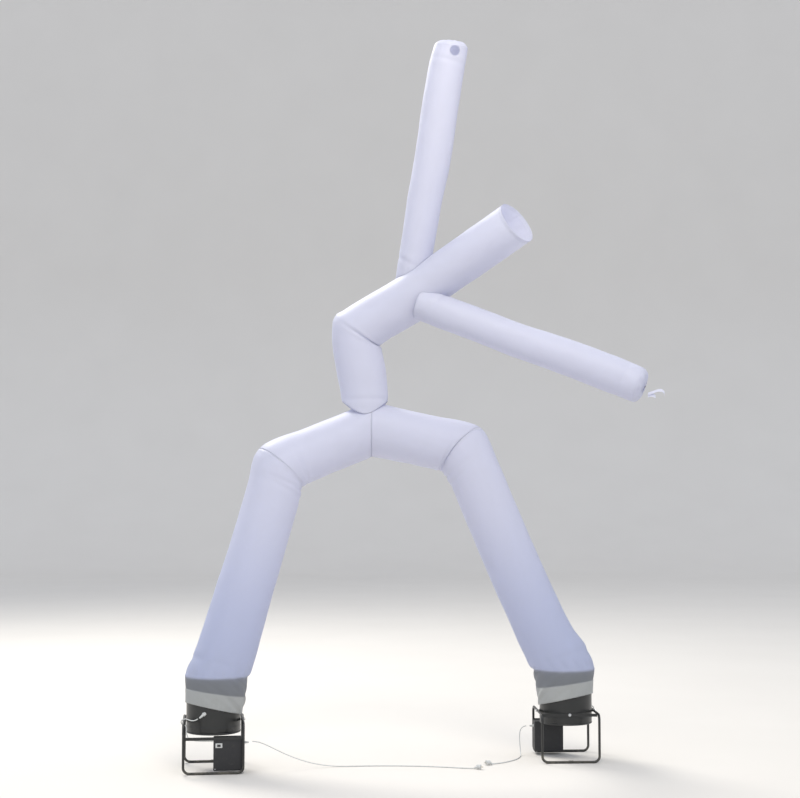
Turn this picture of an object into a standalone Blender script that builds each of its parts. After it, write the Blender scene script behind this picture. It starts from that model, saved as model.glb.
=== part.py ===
"""An inflatable air dancer with two legs and two arms, standing on the two fan blowers that its leg
cuffs are pulled over. The dancer is sewn from thin nylon: every tube of it is an open shell, held in
shape by the air. Metres, +Z up, +Y away from the viewer, the origin on the ground under the middle."""

import math
from collections import namedtuple

import bmesh
import bpy
import numpy as np
from mathutils import Matrix, Vector

CLOTH = 0.002
GAP = 0.0003
SIDES = 24
SEAM_ALLOWANCE = 0.006

DRUM_RADIUS = 0.2125
DRUM_WALL_RADIUS = 0.2105
DRUM_BOTTOM = 0.285
DRUM_TOP = 0.715
DRUM_RECESS = 0.03
BEAD_HEIGHT = 0.012

FRAME_TUBE = 0.0105
FRAME_FLAT = FRAME_TUBE * math.cos(math.pi / 8)
FRAME_HALF_WIDTH = 0.2275
FRAME_HALF_DEPTH = 0.265
FRAME_TOP = 0.378
FRAME_BEND = 0.045

STRAP_THICK = 0.004
STRAP_HIGH = 0.024
LOWER_STRAP_TOP = 0.280
UPPER_STRAP_TOP = 0.384

BOX_SIZE = (0.236, 0.120, 0.248)
BOX_BOTTOM = 0.024
BOX_EDGE = 0.008
RELIEF_PLACE = (0.06, 0.228)
RELIEF_LENGTH = 0.034

GLAND_ANGLE = math.radians(-109.0)
GLAND_HEIGHT = 0.448
GLAND_LENGTH = 0.045

LEAD_RADIUS = 0.004
PLUG_RADIUS = 0.019
PLUG_LENGTH = 0.055
PIN_LENGTH = 0.019

# Where each blower stands, and how far it is turned from facing the viewer with its control box.
Blower = namedtuple("Blower", "side x y turn")
BLOWERS = (
    Blower("left", -1.4525, -0.20, 6.9),
    Blower("right", 1.3425, 0.28, 182.7),
)

# A section of a cloth tube: its centre, the slope of its width across the front view, how far its near
# side runs ahead along the tube, and half its width and depth.
Section = namedtuple("Section", "x y z tilt lean width depth")

LEFT_HIP = Section(-0.96, 0.08, 2.34, -39, 14, 0.233, 0.226)
RIGHT_HIP = Section(0.51, 0.34, 2.49, -132, -18, 0.241, 0.226)
CROTCH = Section(-0.23, 0.25, 2.66, -90, 0, 0.227, 0.220)

LEG_LEFT = (
    LEFT_HIP,
    Section(-0.985, 0.075, 2.305, -31, 12, 0.227, 0.224),
    Section(-1.01, 0.06, 2.17, -19, 9, 0.218, 0.220),
    Section(-1.07, 0.03, 1.94, -17, 9, 0.218, 0.220),
    Section(-1.23, -0.08, 1.37, -17, 9, 0.225, 0.226),
    Section(-1.39, -0.18, 0.81, -15, 5, 0.236, 0.234),
    Section(-1.432, -0.20, 0.70, -3, 2, 0.240, 0.236),
    Section(-1.438, -0.20, 0.60, -8, 4, 0.234, 0.229),
    Section(-1.4525, -0.20, 0.464, -12, 7, 0.2228, 0.2228),
)
LEG_RIGHT = (
    RIGHT_HIP,
    Section(0.535, 0.34, 2.455, -139, -12, 0.237, 0.224),
    Section(0.62, 0.34, 2.28, -149, -4, 0.219, 0.220),
    Section(0.76, 0.33, 1.94, -155, -2, 0.218, 0.220),
    Section(1.04, 0.30, 1.29, -155, -2, 0.217, 0.222),
    Section(1.20, 0.29, 0.95, -155, -2, 0.226, 0.230),
    Section(1.285, 0.285, 0.81, -163, -2, 0.244, 0.236),
    Section(1.332, 0.28, 0.70, -177, -2, 0.244, 0.236),
    Section(1.336, 0.28, 0.60, -172, -4, 0.234, 0.229),
    Section(1.3425, 0.28, 0.471, -168, -7, 0.2228, 0.2228),
)
THIGH_LEFT = (
    LEFT_HIP,
    Section(-0.935, 0.088, 2.362, -46, 13, 0.230, 0.224),
    Section(-0.73, 0.15, 2.45, -68, 9, 0.211, 0.212),
    Section(-0.42, 0.22, 2.58, -70, 9, 0.211, 0.212),
    CROTCH,
)
THIGH_RIGHT = (
    CROTCH,
    Section(-0.05, 0.27, 2.62, -103, 5, 0.216, 0.214),
    Section(0.28, 0.30, 2.55, -103, 5, 0.216, 0.214),
    Section(0.485, 0.335, 2.505, -126, -12, 0.236, 0.224),
    RIGHT_HIP,
)
BODY = (
    Section(-0.28, 0.25, 2.69, 11, -3, 0.190, 0.190),
    Section(-0.29, 0.25, 2.93, 9, -3, 0.191, 0.192),
    Section(-0.32, 0.24, 3.15, 7, -3, 0.200, 0.198),
    Section(-0.35, 0.23, 3.31, 0, -3, 0.200, 0.198),
    Section(-0.362, 0.225, 3.42, -24, -4, 0.212, 0.200),
    Section(-0.352, 0.22, 3.457, -33, -6, 0.223, 0.202),
    Section(-0.31, 0.21, 3.488, -43, -9, 0.208, 0.200),
    Section(-0.14, 0.18, 3.59, -58, -15, 0.199, 0.198),
    Section(0.09, 0.12, 3.72, -58, -18, 0.199, 0.198),
    Section(0.29, 0.04, 3.86, -55, -22, 0.178, 0.180),
    Section(0.60, -0.12, 4.06, -55, -27, 0.181, 0.182),
    Section(0.92, -0.32, 4.26, -54, -31, 0.180, 0.180),
)
ARM_LEFT = (
    Section(0.08, 0.16, 3.74, -6, -8, 0.136, 0.136),
    Section(0.13, 0.114, 4.074, -7, -8, 0.136, 0.137),
    Section(0.204, 0.051, 4.527, -7, -8, 0.143, 0.143),
    Section(0.258, 0.013, 4.803, -8, -8, 0.147, 0.147),
    Section(0.324, -0.047, 5.248, -8, -8, 0.147, 0.147),
    Section(0.38, -0.092, 5.587, -7, -8, 0.145, 0.145),
    Section(0.41, -0.11, 5.72, -5, -8, 0.138, 0.138),
)
ARM_RIGHT = (
    Section(0.16, 0.01, 3.665, -112, -15, 0.131, 0.131),
    Section(0.38, -0.06, 3.57, -111, -15, 0.133, 0.134),
    Section(0.58, -0.11, 3.49, -112, -15, 0.133, 0.134),
    Section(0.94, -0.19, 3.34, -112, -15, 0.136, 0.136),
    Section(1.29, -0.27, 3.21, -111, -15, 0.142, 0.142),
    Section(1.61, -0.34, 3.08, -110, -15, 0.144, 0.144),
    Section(1.85, -0.40, 2.975, -111, -15, 0.138, 0.138),
)
END_DEPTH = 0.052

# The air outlets, round holes through the cloth: where one is, which way it opens, and its radius.
Outlet = namedtuple("Outlet", "at opens radius")
LEFT_OUTLET = Outlet((0.44, -0.26, 5.655), (0.10, -0.97, -0.22), 0.042)
RIGHT_OUTLET = Outlet((1.895, -0.455, 2.945), (0.60, -0.76, -0.25), 0.036)

# The ribbons at the end of the right arm: the points down the middle of each, and its width.
Ribbon = namedtuple("Ribbon", "name width points")
RIBBONS = (
    Ribbon("streamer_long", 0.024, (
        (1.912, -0.470, 2.900), (1.945, -0.472, 2.912), (1.985, -0.474, 2.926), (2.018, -0.476, 2.927),
        (2.036, -0.478, 2.912), (2.039, -0.480, 2.888))),
    Ribbon("streamer_short", 0.030, (
        (1.912, -0.466, 2.888), (1.935, -0.466, 2.893), (1.955, -0.466, 2.890), (1.972, -0.466, 2.880))),
)

# The leads, from the strain relief to the plug.
LEAD_LEFT = (
    (-1.135, -0.345, 0.232), (-1.095, -0.335, 0.226), (-1.04, -0.315, 0.204), (-0.96, -0.285, 0.160),
    (-0.87, -0.25, 0.112), (-0.76, -0.21, 0.064), (-0.65, -0.175, 0.030), (-0.53, -0.145, 0.0095),
    (-0.42, -0.13, 0.0043), (-0.25, -0.112, 0.0043), (-0.05, -0.108, 0.0043), (0.15, -0.125, 0.0043),
    (0.33, -0.16, 0.0043), (0.47, -0.20, 0.0043), (0.545, -0.222, 0.0058), (0.575, -0.231, 0.0075),
)
LEAD_RIGHT = (
    (1.035, 0.458, 0.228), (1.005, 0.453, 0.218), (0.985, 0.446, 0.185), (0.980, 0.438, 0.135),
    (0.982, 0.426, 0.080), (0.984, 0.402, 0.036), (0.983, 0.362, 0.012), (0.976, 0.312, 0.0043),
    (0.955, 0.235, 0.0043), (0.915, 0.150, 0.0043), (0.855, 0.070, 0.0043), (0.792, 0.010, 0.0043),
    (0.748, -0.022, 0.0058), (0.724, -0.038, 0.0075),
)
LEAD_POINTS = {"left": 76, "right": 46}

# The motor cable of a blower in the blower's own frame: off the gland, over the side bar, round it,
# and back behind the lower strap into the side of the control box.
MOTOR_CABLE = (
    (-0.120, -0.2360, 0.417), (-0.140, -0.2270, 0.406), (-0.165, -0.2080, 0.401), (-0.190, -0.1780, 0.403),
    (-0.210, -0.1480, 0.405), (-0.2275, -0.1280, 0.4015), (-0.2445, -0.1120, 0.390), (-0.2480, -0.1020, 0.372),
    (-0.2400, -0.0960, 0.358), (-0.2275, -0.0950, 0.354), (-0.2120, -0.1000, 0.345), (-0.2060, -0.1140, 0.320),
    (-0.2050, -0.1350, 0.296), (-0.1960, -0.1650, 0.272), (-0.1750, -0.1950, 0.257), (-0.1400, -0.2150, 0.250),
    (-0.0950, -0.2220, 0.248), (-0.0500, -0.2180, 0.246), (-0.0020, -0.2120, 0.245),
)
MOTOR_CABLE_POINTS = 44

WHITE_NYLON = (0.80, 0.80, 0.88)
BLACK_SATIN = (0.018, 0.018, 0.020)
LIGHT_GREY = (0.62, 0.63, 0.62)
BRIGHT_STEEL = (0.70, 0.71, 0.72)


def clear_scene():
    for obj in list(bpy.data.objects):
        bpy.data.objects.remove(obj)


def collection(name):
    made = bpy.data.collections.new(name)
    bpy.context.scene.collection.children.link(made)
    return made


def principled(name, color, roughness, metallic=0.0):
    made = bpy.data.materials.new(name)
    made.use_nodes = True
    shader = made.node_tree.nodes["Principled BSDF"]
    shader.inputs["Base Color"].default_value = (*color, 1.0)
    shader.inputs["Roughness"].default_value = roughness
    shader.inputs["Metallic"].default_value = metallic
    return made


def add_mesh(name, points, faces, into, material=None):
    """A mesh object with its doubles merged and its faces turned outwards."""
    mesh = bpy.data.meshes.new(name)
    mesh.from_pydata([tuple(point) for point in points], [], faces)
    bm = bmesh.new()
    bm.from_mesh(mesh)
    bmesh.ops.remove_doubles(bm, verts=bm.verts, dist=1e-6)
    bmesh.ops.recalc_face_normals(bm, faces=bm.faces)
    bm.to_mesh(mesh)
    bm.free()
    obj = bpy.data.objects.new(name, mesh)
    into.objects.link(obj)
    if material:
        mesh.materials.append(material)
        mesh.shade_smooth()
        mesh.set_sharp_from_angle(angle=math.radians(40))
    return obj


def ring(section, inset=0.0):
    """The section's ellipse, drawn in by inset: centre + width cos(a) + depth sin(a) round the tube."""
    tilt = math.radians(section.tilt)
    lean = math.radians(section.lean)
    across = np.array([math.cos(tilt), 0.0, math.sin(tilt)]) * (section.width - inset)
    along = np.array([-math.sin(tilt), 0.0, math.cos(tilt)])
    near = (along * math.sin(lean) - np.array([0.0, 1.0, 0.0]) * math.cos(lean)) * (section.depth - inset)
    angle = np.linspace(0.0, 2.0 * math.pi, SIDES, endpoint=False)[:, None]
    centre = np.array([section.x, section.y, section.z])
    return centre + across * np.cos(angle) + near * np.sin(angle)


def moved_towards(points, target, distance):
    """The ring shifted by distance towards the middle of the target ring."""
    step = target.mean(axis=0) - points.mean(axis=0)
    return points + step / np.linalg.norm(step) * distance


def rings_of(sections, inset=0.0, end_gaps=(0.0, 0.0)):
    rings = [ring(section, inset) for section in sections]
    rings[0] = moved_towards(rings[0], rings[1], end_gaps[0])
    rings[-1] = moved_towards(rings[-1], rings[-2], end_gaps[1])
    return rings


def wall_faces(rows, start=0):
    """Triangles between neighbouring rings, all split along the same diagonal."""
    faces = []
    for row in range(rows - 1):
        for side in range(SIDES):
            a = start + row * SIDES + side
            b = start + row * SIDES + (side + 1) % SIDES
            faces += [(a, b, b + SIDES), (a, b + SIDES, a + SIDES)]
    return faces


def tube_shell(name, sections, into, material, end_gaps=(GAP / 2, GAP / 2)):
    """An open tube: its outer rings one way, its inner rings back, and a rim at each end."""
    outer = rings_of(sections, 0.0, end_gaps)
    inner = rings_of(sections, CLOTH, end_gaps)
    loop = outer + inner[::-1] + outer[:1]
    return add_mesh(name, np.concatenate(loop), wall_faces(len(loop)), into, material)


def tube_core(name, sections, grow, into):
    """The tube filled and capped, as a tool for cutting its neighbours."""
    rings = rings_of(sections, -grow)
    count = len(rings) * SIDES
    caps = [tuple(range(SIDES)), tuple(range(count - SIDES, count))]
    core = add_mesh(name, np.concatenate(rings), wall_faces(len(rings)) + caps, into)
    hide(core)
    return core


def hide(obj):
    obj.hide_render = True
    obj.display_type = "WIRE"


def end_shell(name, section, heading, into, material):
    """A round end panel: rings that shrink as a superellipse while they run on, out and back inside."""
    heading = np.array(heading) / np.linalg.norm(heading)
    rings = []
    for inset in (0.0, CLOTH):
        for turn in (0.0, 0.30, 0.60, 0.85, 1.08, 1.30, 1.47):
            size = math.cos(turn) ** 0.55
            rise = (END_DEPTH - inset) * math.sin(turn) ** 1.2
            section_here = section._replace(width=(section.width - inset) * size, depth=(section.depth - inset) * size)
            rings.append(ring(section_here) + heading * (rise + GAP))
    half = len(rings) // 2
    outer, inner = rings[:half], rings[half:]
    loop = outer[::-1] + inner
    points = np.concatenate(loop)
    caps = [tuple(range(SIDES)), tuple(range(len(points) - SIDES, len(points)))]
    return add_mesh(name, points, wall_faces(len(loop)) + caps, into, material)


def cut(obj, tool):
    modifier = obj.modifiers.new("cut by " + tool.name, "BOOLEAN")
    modifier.object = tool
    modifier.solver = "EXACT"


def join(obj, tool):
    modifier = obj.modifiers.new("joined with " + tool.name, "BOOLEAN")
    modifier.operation = "UNION"
    modifier.object = tool
    modifier.solver = "EXACT"


def cylinder(name, radius, length, centre, axis, into, material=None, tip=None, sides=24):
    """A cylinder, or a cone where tip gives the radius of its far end, along an axis."""
    bm = bmesh.new()
    bmesh.ops.create_cone(
        bm, cap_ends=True, segments=sides, radius1=radius, radius2=radius if tip is None else tip, depth=length)
    mesh = bpy.data.meshes.new(name)
    turn = Vector((0, 0, 1)).rotation_difference(Vector(axis).normalized()).to_matrix().to_4x4()
    bm.transform(Matrix.Translation(centre) @ turn)
    bm.to_mesh(mesh)
    bm.free()
    obj = bpy.data.objects.new(name, mesh)
    into.objects.link(obj)
    if material:
        mesh.materials.append(material)
        mesh.shade_smooth()
        mesh.set_sharp_from_angle(angle=math.radians(40))
    return obj


def block(name, low, high, into, material, edge=0.0):
    bm = bmesh.new()
    bmesh.ops.create_cube(bm, size=1.0)
    low, high = Vector(low), Vector(high)
    bm.transform(Matrix.Translation((low + high) / 2) @ Matrix.Diagonal((*(high - low), 1.0)))
    mesh = bpy.data.meshes.new(name)
    bm.to_mesh(mesh)
    bm.free()
    mesh.materials.append(material)
    obj = bpy.data.objects.new(name, mesh)
    into.objects.link(obj)
    if edge:
        modifier = obj.modifiers.new("rounded edges", "BEVEL")
        modifier.width = edge
        modifier.segments = 3
    return obj


def smooth_route(points, count):
    """Points at even spacing on the Catmull-Rom curve through the route's own points."""
    own = np.array(points)
    ends = np.vstack([2 * own[0] - own[1], own, 2 * own[-1] - own[-2]])
    share = np.linspace(0.0, 1.0, 24, endpoint=False)[:, None]
    spans = []
    for a, b, c, d in zip(ends, ends[1:], ends[2:], ends[3:]):
        spans.append(0.5 * (2 * b + (c - a) * share + (2 * a - 5 * b + 4 * c - d) * share**2
                            + (3 * b - a - 3 * c + d) * share**3))
    curve = np.vstack([*spans, own[-1:]])
    run = np.concatenate([[0.0], np.cumsum(np.linalg.norm(np.diff(curve, axis=0), axis=1))])
    even = np.linspace(0.0, run[-1], count)
    return np.stack([np.interp(even, run, curve[:, axis]) for axis in range(3)], axis=1)


def cord(name, points, radius, into, material, resolution=2, tilt=0.0):
    """A round tube along the points, with its two ends closed."""
    curve = bpy.data.curves.new(name, "CURVE")
    curve.dimensions = "3D"
    curve.bevel_depth = radius
    curve.bevel_resolution = resolution
    curve.use_fill_caps = True
    spline = curve.splines.new("POLY")
    spline.points.add(len(points) - 1)
    for point, place in zip(spline.points, points):
        point.co = (*place, 1.0)
        point.tilt = tilt
    curve.materials.append(material)
    obj = bpy.data.objects.new(name, curve)
    into.objects.link(obj)
    return obj


def rounded_path(corners, radius, steps=5):
    """The path through the corners with a circular bend of the radius at each one but the ends."""
    path = [Vector(corners[0])]
    for before, corner, after in zip(corners, corners[1:], corners[2:]):
        corner = Vector(corner)
        back = (Vector(before) - corner).normalized()
        on = (Vector(after) - corner).normalized()
        centre = corner + (back + on) * radius
        for step in range(steps + 1):
            angle = math.pi / 2 * step / steps
            path.append(centre - on * radius * math.cos(angle) - back * radius * math.sin(angle))
    return path + [Vector(corners[-1])]


def dancer(parts, tools, nylon):
    """The sewn tubes, each cut where it is rooted on another."""
    tube_shell("leg_left", LEG_LEFT, parts, nylon)
    tube_shell("leg_right", LEG_RIGHT, parts, nylon)
    thigh_left = tube_shell("thigh_left", THIGH_LEFT, parts, nylon)
    thigh_right = tube_shell("thigh_right", THIGH_RIGHT, parts, nylon)
    body = tube_shell("body", BODY, parts, nylon)
    arm_left = tube_shell("arm_left", ARM_LEFT, parts, nylon)
    arm_right = tube_shell("arm_right", ARM_RIGHT, parts, nylon)

    waist = tube_core("waist_air", BODY[:2], -CLOTH - SEAM_ALLOWANCE, tools)
    for thigh, sections in ((thigh_left, THIGH_LEFT), (thigh_right, THIGH_RIGHT)):
        cut(body, tube_core(thigh.name + "_filled", sections, GAP, tools))
        cut(thigh, waist)
    body_filled = tube_core("body_filled", BODY, GAP, tools)
    for arm, sections in ((arm_left, ARM_LEFT), (arm_right, ARM_RIGHT)):
        cut(arm, body_filled)
        cut(body, tube_core(arm.name + "_air", sections[:2], -CLOTH - SEAM_ALLOWANCE, tools))

    for arm, sections, outlet in ((arm_left, ARM_LEFT, LEFT_OUTLET), (arm_right, ARM_RIGHT, RIGHT_OUTLET)):
        last, before = np.array(sections[-1][:3]), np.array(sections[-2][:3])
        end = end_shell(arm.name + "_end", sections[-1], last - before, parts, nylon)
        hole = cylinder(arm.name + "_outlet", outlet.radius, 0.16, outlet.at, outlet.opens, tools, sides=16)
        hide(hole)
        cut(arm, hole)
        cut(end, hole)


def streamer(ribbon, into, material):
    """A flat ribbon that stands on edge, its strip carried along the points and given a thickness."""
    middle = smooth_route(ribbon.points, 12)
    half = np.array([0.0, 0.35, 0.94]) * ribbon.width / 2
    strip = np.concatenate([middle - half, middle + half])
    count = len(middle)
    faces = [(i, i + 1, count + i + 1, count + i) for i in range(count - 1)]
    obj = add_mesh(ribbon.name, strip, faces, into, material)
    modifier = obj.modifiers.new("cloth", "SOLIDIFY")
    modifier.thickness = CLOTH * 0.75
    modifier.offset = 0.0


def drum(name, into, material):
    """The fan housing: a wall with a rolled bead at each rim, closed by a recessed guard at each end."""
    plate = DRUM_RADIUS - 0.016
    profile = [
        (0.0, DRUM_TOP - DRUM_RECESS), (plate, DRUM_TOP - DRUM_RECESS), (plate, DRUM_TOP),
        (DRUM_RADIUS - 0.002, DRUM_TOP), (DRUM_RADIUS, DRUM_TOP - 0.004), (DRUM_RADIUS, DRUM_TOP - BEAD_HEIGHT),
        (DRUM_WALL_RADIUS, DRUM_TOP - BEAD_HEIGHT - 0.003), (DRUM_WALL_RADIUS, DRUM_BOTTOM + BEAD_HEIGHT + 0.003),
        (DRUM_RADIUS, DRUM_BOTTOM + BEAD_HEIGHT), (DRUM_RADIUS, DRUM_BOTTOM + 0.004),
        (DRUM_RADIUS - 0.002, DRUM_BOTTOM), (plate, DRUM_BOTTOM), (plate, DRUM_BOTTOM + DRUM_RECESS),
        (0.0, DRUM_BOTTOM + DRUM_RECESS),
    ]
    mesh = bpy.data.meshes.new(name)
    mesh.from_pydata([(r, 0.0, z) for r, z in profile], [(i, i + 1) for i in range(len(profile) - 1)], [])
    mesh.materials.append(material)
    obj = bpy.data.objects.new(name, mesh)
    into.objects.link(obj)
    modifier = obj.modifiers.new("turned", "SCREW")
    modifier.steps = modifier.render_steps = 36
    modifier.use_merge_vertices = True
    modifier.merge_threshold = 0.0001
    modifier.use_smooth_shade = True
    return obj


def frame_tube(name, into, material):
    """One bent tube: along the ground, up, over the side and down again on both sides. Its two ends
    meet in the middle of the ground bar behind."""
    w, d, top, low = FRAME_HALF_WIDTH, FRAME_HALF_DEPTH, FRAME_TOP, FRAME_FLAT
    corners = [
        (GAP, d, low), (w, d, low), (w, d, top), (w, -d, top), (w, -d, low),
        (-w, -d, low), (-w, -d, top), (-w, d, top), (-w, d, low), (-GAP, d, low),
    ]
    return cord(name, rounded_path(corners, FRAME_BEND), FRAME_TUBE, into, material, tilt=math.pi / 8)


def upper_strap(name, into, material):
    """A flat strap bent in to the drum, between the side bars on the side away from the box."""
    end = FRAME_HALF_WIDTH - FRAME_FLAT - GAP
    front = DRUM_WALL_RADIUS + GAP
    line = [(-end, 0.232), (-0.07, front), (0.07, front), (end, 0.232)]
    outline = line + [(x, y + STRAP_THICK) for x, y in reversed(line)]
    curve = bpy.data.curves.new(name, "CURVE")
    curve.dimensions = "2D"
    curve.fill_mode = "BOTH"
    curve.extrude = STRAP_HIGH / 2
    spline = curve.splines.new("POLY")
    spline.points.add(len(outline) - 1)
    for point, (x, y) in zip(spline.points, outline):
        point.co = (x, y, 0.0, 1.0)
    spline.use_cyclic_u = True
    curve.materials.append(material)
    obj = bpy.data.objects.new(name, curve)
    obj.location.z = UPPER_STRAP_TOP - STRAP_HIGH / 2
    into.objects.link(obj)
    return obj


def control_box(side, into, black, grey):
    """The box behind the lower strap at one corner, with its switch plate and the lead's strain relief."""
    strap_front = -FRAME_HALF_DEPTH + FRAME_FLAT + GAP
    front = strap_front + STRAP_THICK + GAP
    width, depth, height = BOX_SIZE
    strap_end = FRAME_HALF_WIDTH + FRAME_FLAT
    made = [
        block("lower_strap_" + side, (-strap_end, strap_front, LOWER_STRAP_TOP - STRAP_HIGH),
              (strap_end, strap_front + STRAP_THICK, LOWER_STRAP_TOP), into, black),
        block("control_box_" + side, (0.0, front, BOX_BOTTOM), (width, front + depth, BOX_BOTTOM + height),
              into, black, BOX_EDGE),
        block("switch_plate_" + side, (0.016, front - GAP - 0.003, 0.198), (0.068, front - GAP, 0.233),
              into, grey),
    ]
    back, height_here = RELIEF_PLACE
    made.append(cylinder(
        "strain_relief_" + side, 0.011, RELIEF_LENGTH,
        (width + GAP + RELIEF_LENGTH / 2, front + back, height_here), (1, 0, 0), into, grey, tip=0.0062, sides=16))
    return made


def gland(side, into, material):
    """A cone that leads the motor cable off the drum, sideways and down."""
    out = Vector((math.cos(GLAND_ANGLE), math.sin(GLAND_ANGLE), 0.0))
    sideways = Vector((out.y, -out.x, 0.0))
    axis = (out * 0.45 + sideways * 0.66 + Vector((0.0, 0.0, -0.60))).normalized()
    base = out * (DRUM_WALL_RADIUS + 0.0135) + Vector((0.0, 0.0, GLAND_HEIGHT))
    return cylinder("cable_gland_" + side, 0.012, GLAND_LENGTH, base + axis * GLAND_LENGTH / 2, axis, into,
                    material, tip=0.006, sides=16)


def bolts(side, into, black, steel):
    """The strap's bolt, and the bolts and spacers that carry the drum on the side bars."""
    made = [cylinder("strap_bolt_" + side, 0.011, 0.009,
                     (0.0, DRUM_WALL_RADIUS + STRAP_THICK + 2 * GAP + 0.0045, UPPER_STRAP_TOP - STRAP_HIGH / 2),
                     (0, 1, 0), into, steel, tip=0.008, sides=12)]
    inner = FRAME_HALF_WIDTH - FRAME_FLAT - GAP
    outer = FRAME_HALF_WIDTH + FRAME_FLAT + GAP
    spacer = inner - DRUM_WALL_RADIUS - GAP
    for word, way in (("a", -1), ("b", 1)):
        made.append(cylinder(f"side_spacer_{side}_{word}", 0.012, spacer,
                             (way * (inner - spacer / 2), 0.0, FRAME_TOP), (way, 0, 0), into, black, sides=12))
        made.append(cylinder(f"side_bolt_{side}_{word}", 0.010, 0.008,
                             (way * (outer + 0.004), 0.0, FRAME_TOP), (way, 0, 0), into, steel, tip=0.007, sides=12))
    return made


def blower(place, parts, black, grey, steel):
    """One blower, built at the origin and then set on its place."""
    side = place.side
    made = [
        drum("drum_" + side, parts, black),
        frame_tube("frame_" + side, parts, black),
        upper_strap("upper_strap_" + side, parts, black),
        gland(side, parts, grey),
        cord("motor_cable_" + side, smooth_route(MOTOR_CABLE, MOTOR_CABLE_POINTS), LEAD_RADIUS, parts, grey),
    ]
    made += control_box(side, parts, black, grey)
    made += bolts(side, parts, black, steel)
    stand = bpy.data.objects.new("blower_" + side, None)
    parts.objects.link(stand)
    stand.location = (place.x, place.y, 0.0)
    stand.rotation_euler.z = math.radians(place.turn)
    for obj in made:
        obj.parent = stand
    return stand


def plug(name, route_end, before, parts, tools, material):
    """A round mains plug that lies on the ground where its lead ends, with two pins."""
    end = Vector(route_end)
    heading = end - Vector(before)
    heading.z = 0.0
    heading.normalize()
    middle = Vector((end.x, end.y, PLUG_RADIUS + GAP + 0.001))
    neck = cylinder(name + "_neck", 0.0085, 0.030, end + heading * (0.015 + GAP), heading, tools, sides=12)
    body = cylinder(name, PLUG_RADIUS, PLUG_LENGTH - 0.020, middle + heading * (0.020 + (PLUG_LENGTH - 0.020) / 2),
                    heading, parts, material, sides=20)
    across = Vector((-heading.y, heading.x, 0.0))
    join(body, neck)
    for way in (-1, 1):
        pin = cylinder(f"{name}_pin_{way}", 0.0024, PIN_LENGTH + 0.004,
                       middle + heading * (PLUG_LENGTH + PIN_LENGTH / 2 - 0.002) + across * way * 0.0095,
                       heading, tools, sides=8)
        hide(pin)
        join(body, pin)
    hide(neck)
    return body


def leads(parts, tools, grey):
    for side, route in (("left", LEAD_LEFT), ("right", LEAD_RIGHT)):
        line = smooth_route(route, LEAD_POINTS[side])
        line[:, 2] = np.maximum(line[:, 2], LEAD_RADIUS + GAP)
        cord("lead_" + side, line, LEAD_RADIUS, parts, grey)
        plug("plug_" + side, route[-1], route[-2], parts, tools, grey)


def stand_over_origin(parts, tools, cords):
    """Moves everything so that the middle of the object's box, its cords left out, is over the origin."""
    bpy.context.view_layer.update()
    graph = bpy.context.evaluated_depsgraph_get()
    places = []
    for obj in parts.objects:
        if obj.type in ("MESH", "CURVE") and not obj.name.startswith(cords):
            seen = obj.evaluated_get(graph)
            places += [seen.matrix_world @ vertex.co for vertex in seen.to_mesh().vertices]
            seen.to_mesh_clear()
    places = np.array(places)
    middle = (places.min(axis=0) + places.max(axis=0)) / 2
    ground = bpy.data.objects.new("ground_point", None)
    parts.objects.link(ground)
    for obj in [*parts.objects, *tools.objects]:
        if obj.parent is None and obj is not ground:
            obj.parent = ground
    ground.location = (-middle[0], -middle[1], 0.0)


def main():
    clear_scene()
    parts = collection("air_dancer")
    tools = collection("cutters")
    nylon = principled("white nylon", WHITE_NYLON, 0.55)
    black = principled("black satin", BLACK_SATIN, 0.40)
    grey = principled("light grey cable", LIGHT_GREY, 0.50)
    steel = principled("bright steel", BRIGHT_STEEL, 0.30, 1.0)
    dancer(parts, tools, nylon)
    for ribbon in RIBBONS:
        streamer(ribbon, parts, nylon)
    for place in BLOWERS:
        blower(place, parts, black, grey, steel)
    leads(parts, tools, grey)
    stand_over_origin(parts, tools, ("lead_", "plug_"))


main()
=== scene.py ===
"""The looks of an inflatable air dancer: sewn nylon tubes blown up by two fan blowers.

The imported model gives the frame. The tubes of cloth, the blowers and their cables are built here as
numpy surfaces round the same sections and routes as the model's solids, in metres."""

import math
from collections import namedtuple

import bpy
import bmesh
import numpy as np
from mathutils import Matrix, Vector


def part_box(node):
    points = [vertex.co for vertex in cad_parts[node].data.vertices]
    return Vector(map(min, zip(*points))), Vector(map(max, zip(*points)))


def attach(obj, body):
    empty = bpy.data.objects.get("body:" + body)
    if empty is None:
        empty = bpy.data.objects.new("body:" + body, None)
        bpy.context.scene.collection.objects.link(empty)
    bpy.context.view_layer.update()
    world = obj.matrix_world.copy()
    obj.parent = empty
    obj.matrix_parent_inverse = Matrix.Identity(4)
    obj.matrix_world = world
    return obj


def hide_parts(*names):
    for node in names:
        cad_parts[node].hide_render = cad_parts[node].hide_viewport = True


bl_info = {
    "name": "Inflatable Air Dancer",
    "version": (1, 0, 0),
    "blender": (4, 5, 0),
    "location": "View3D > Sidebar > Air Dancer",
    "description": "Builds the cloth, blowers and cables of an inflatable air dancer",
    "category": "Add Mesh",
}

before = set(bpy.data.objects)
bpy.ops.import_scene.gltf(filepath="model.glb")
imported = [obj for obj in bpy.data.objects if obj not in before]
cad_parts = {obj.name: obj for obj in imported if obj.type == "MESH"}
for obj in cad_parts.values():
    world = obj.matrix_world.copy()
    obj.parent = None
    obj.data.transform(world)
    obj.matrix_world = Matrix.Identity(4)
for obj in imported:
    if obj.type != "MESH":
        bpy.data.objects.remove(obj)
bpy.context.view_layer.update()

# ---------------------------------------------------------------- places and sizes, in metres

Section = namedtuple("Section", "x y z tilt lean width depth")

LEFT_HIP = Section(-0.96, 0.08, 2.34, -39, 14, 0.233, 0.226)
RIGHT_HIP = Section(0.51, 0.34, 2.49, -132, -18, 0.241, 0.226)
CROTCH = Section(-0.23, 0.25, 2.66, -90, 0, 0.227, 0.220)

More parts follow.
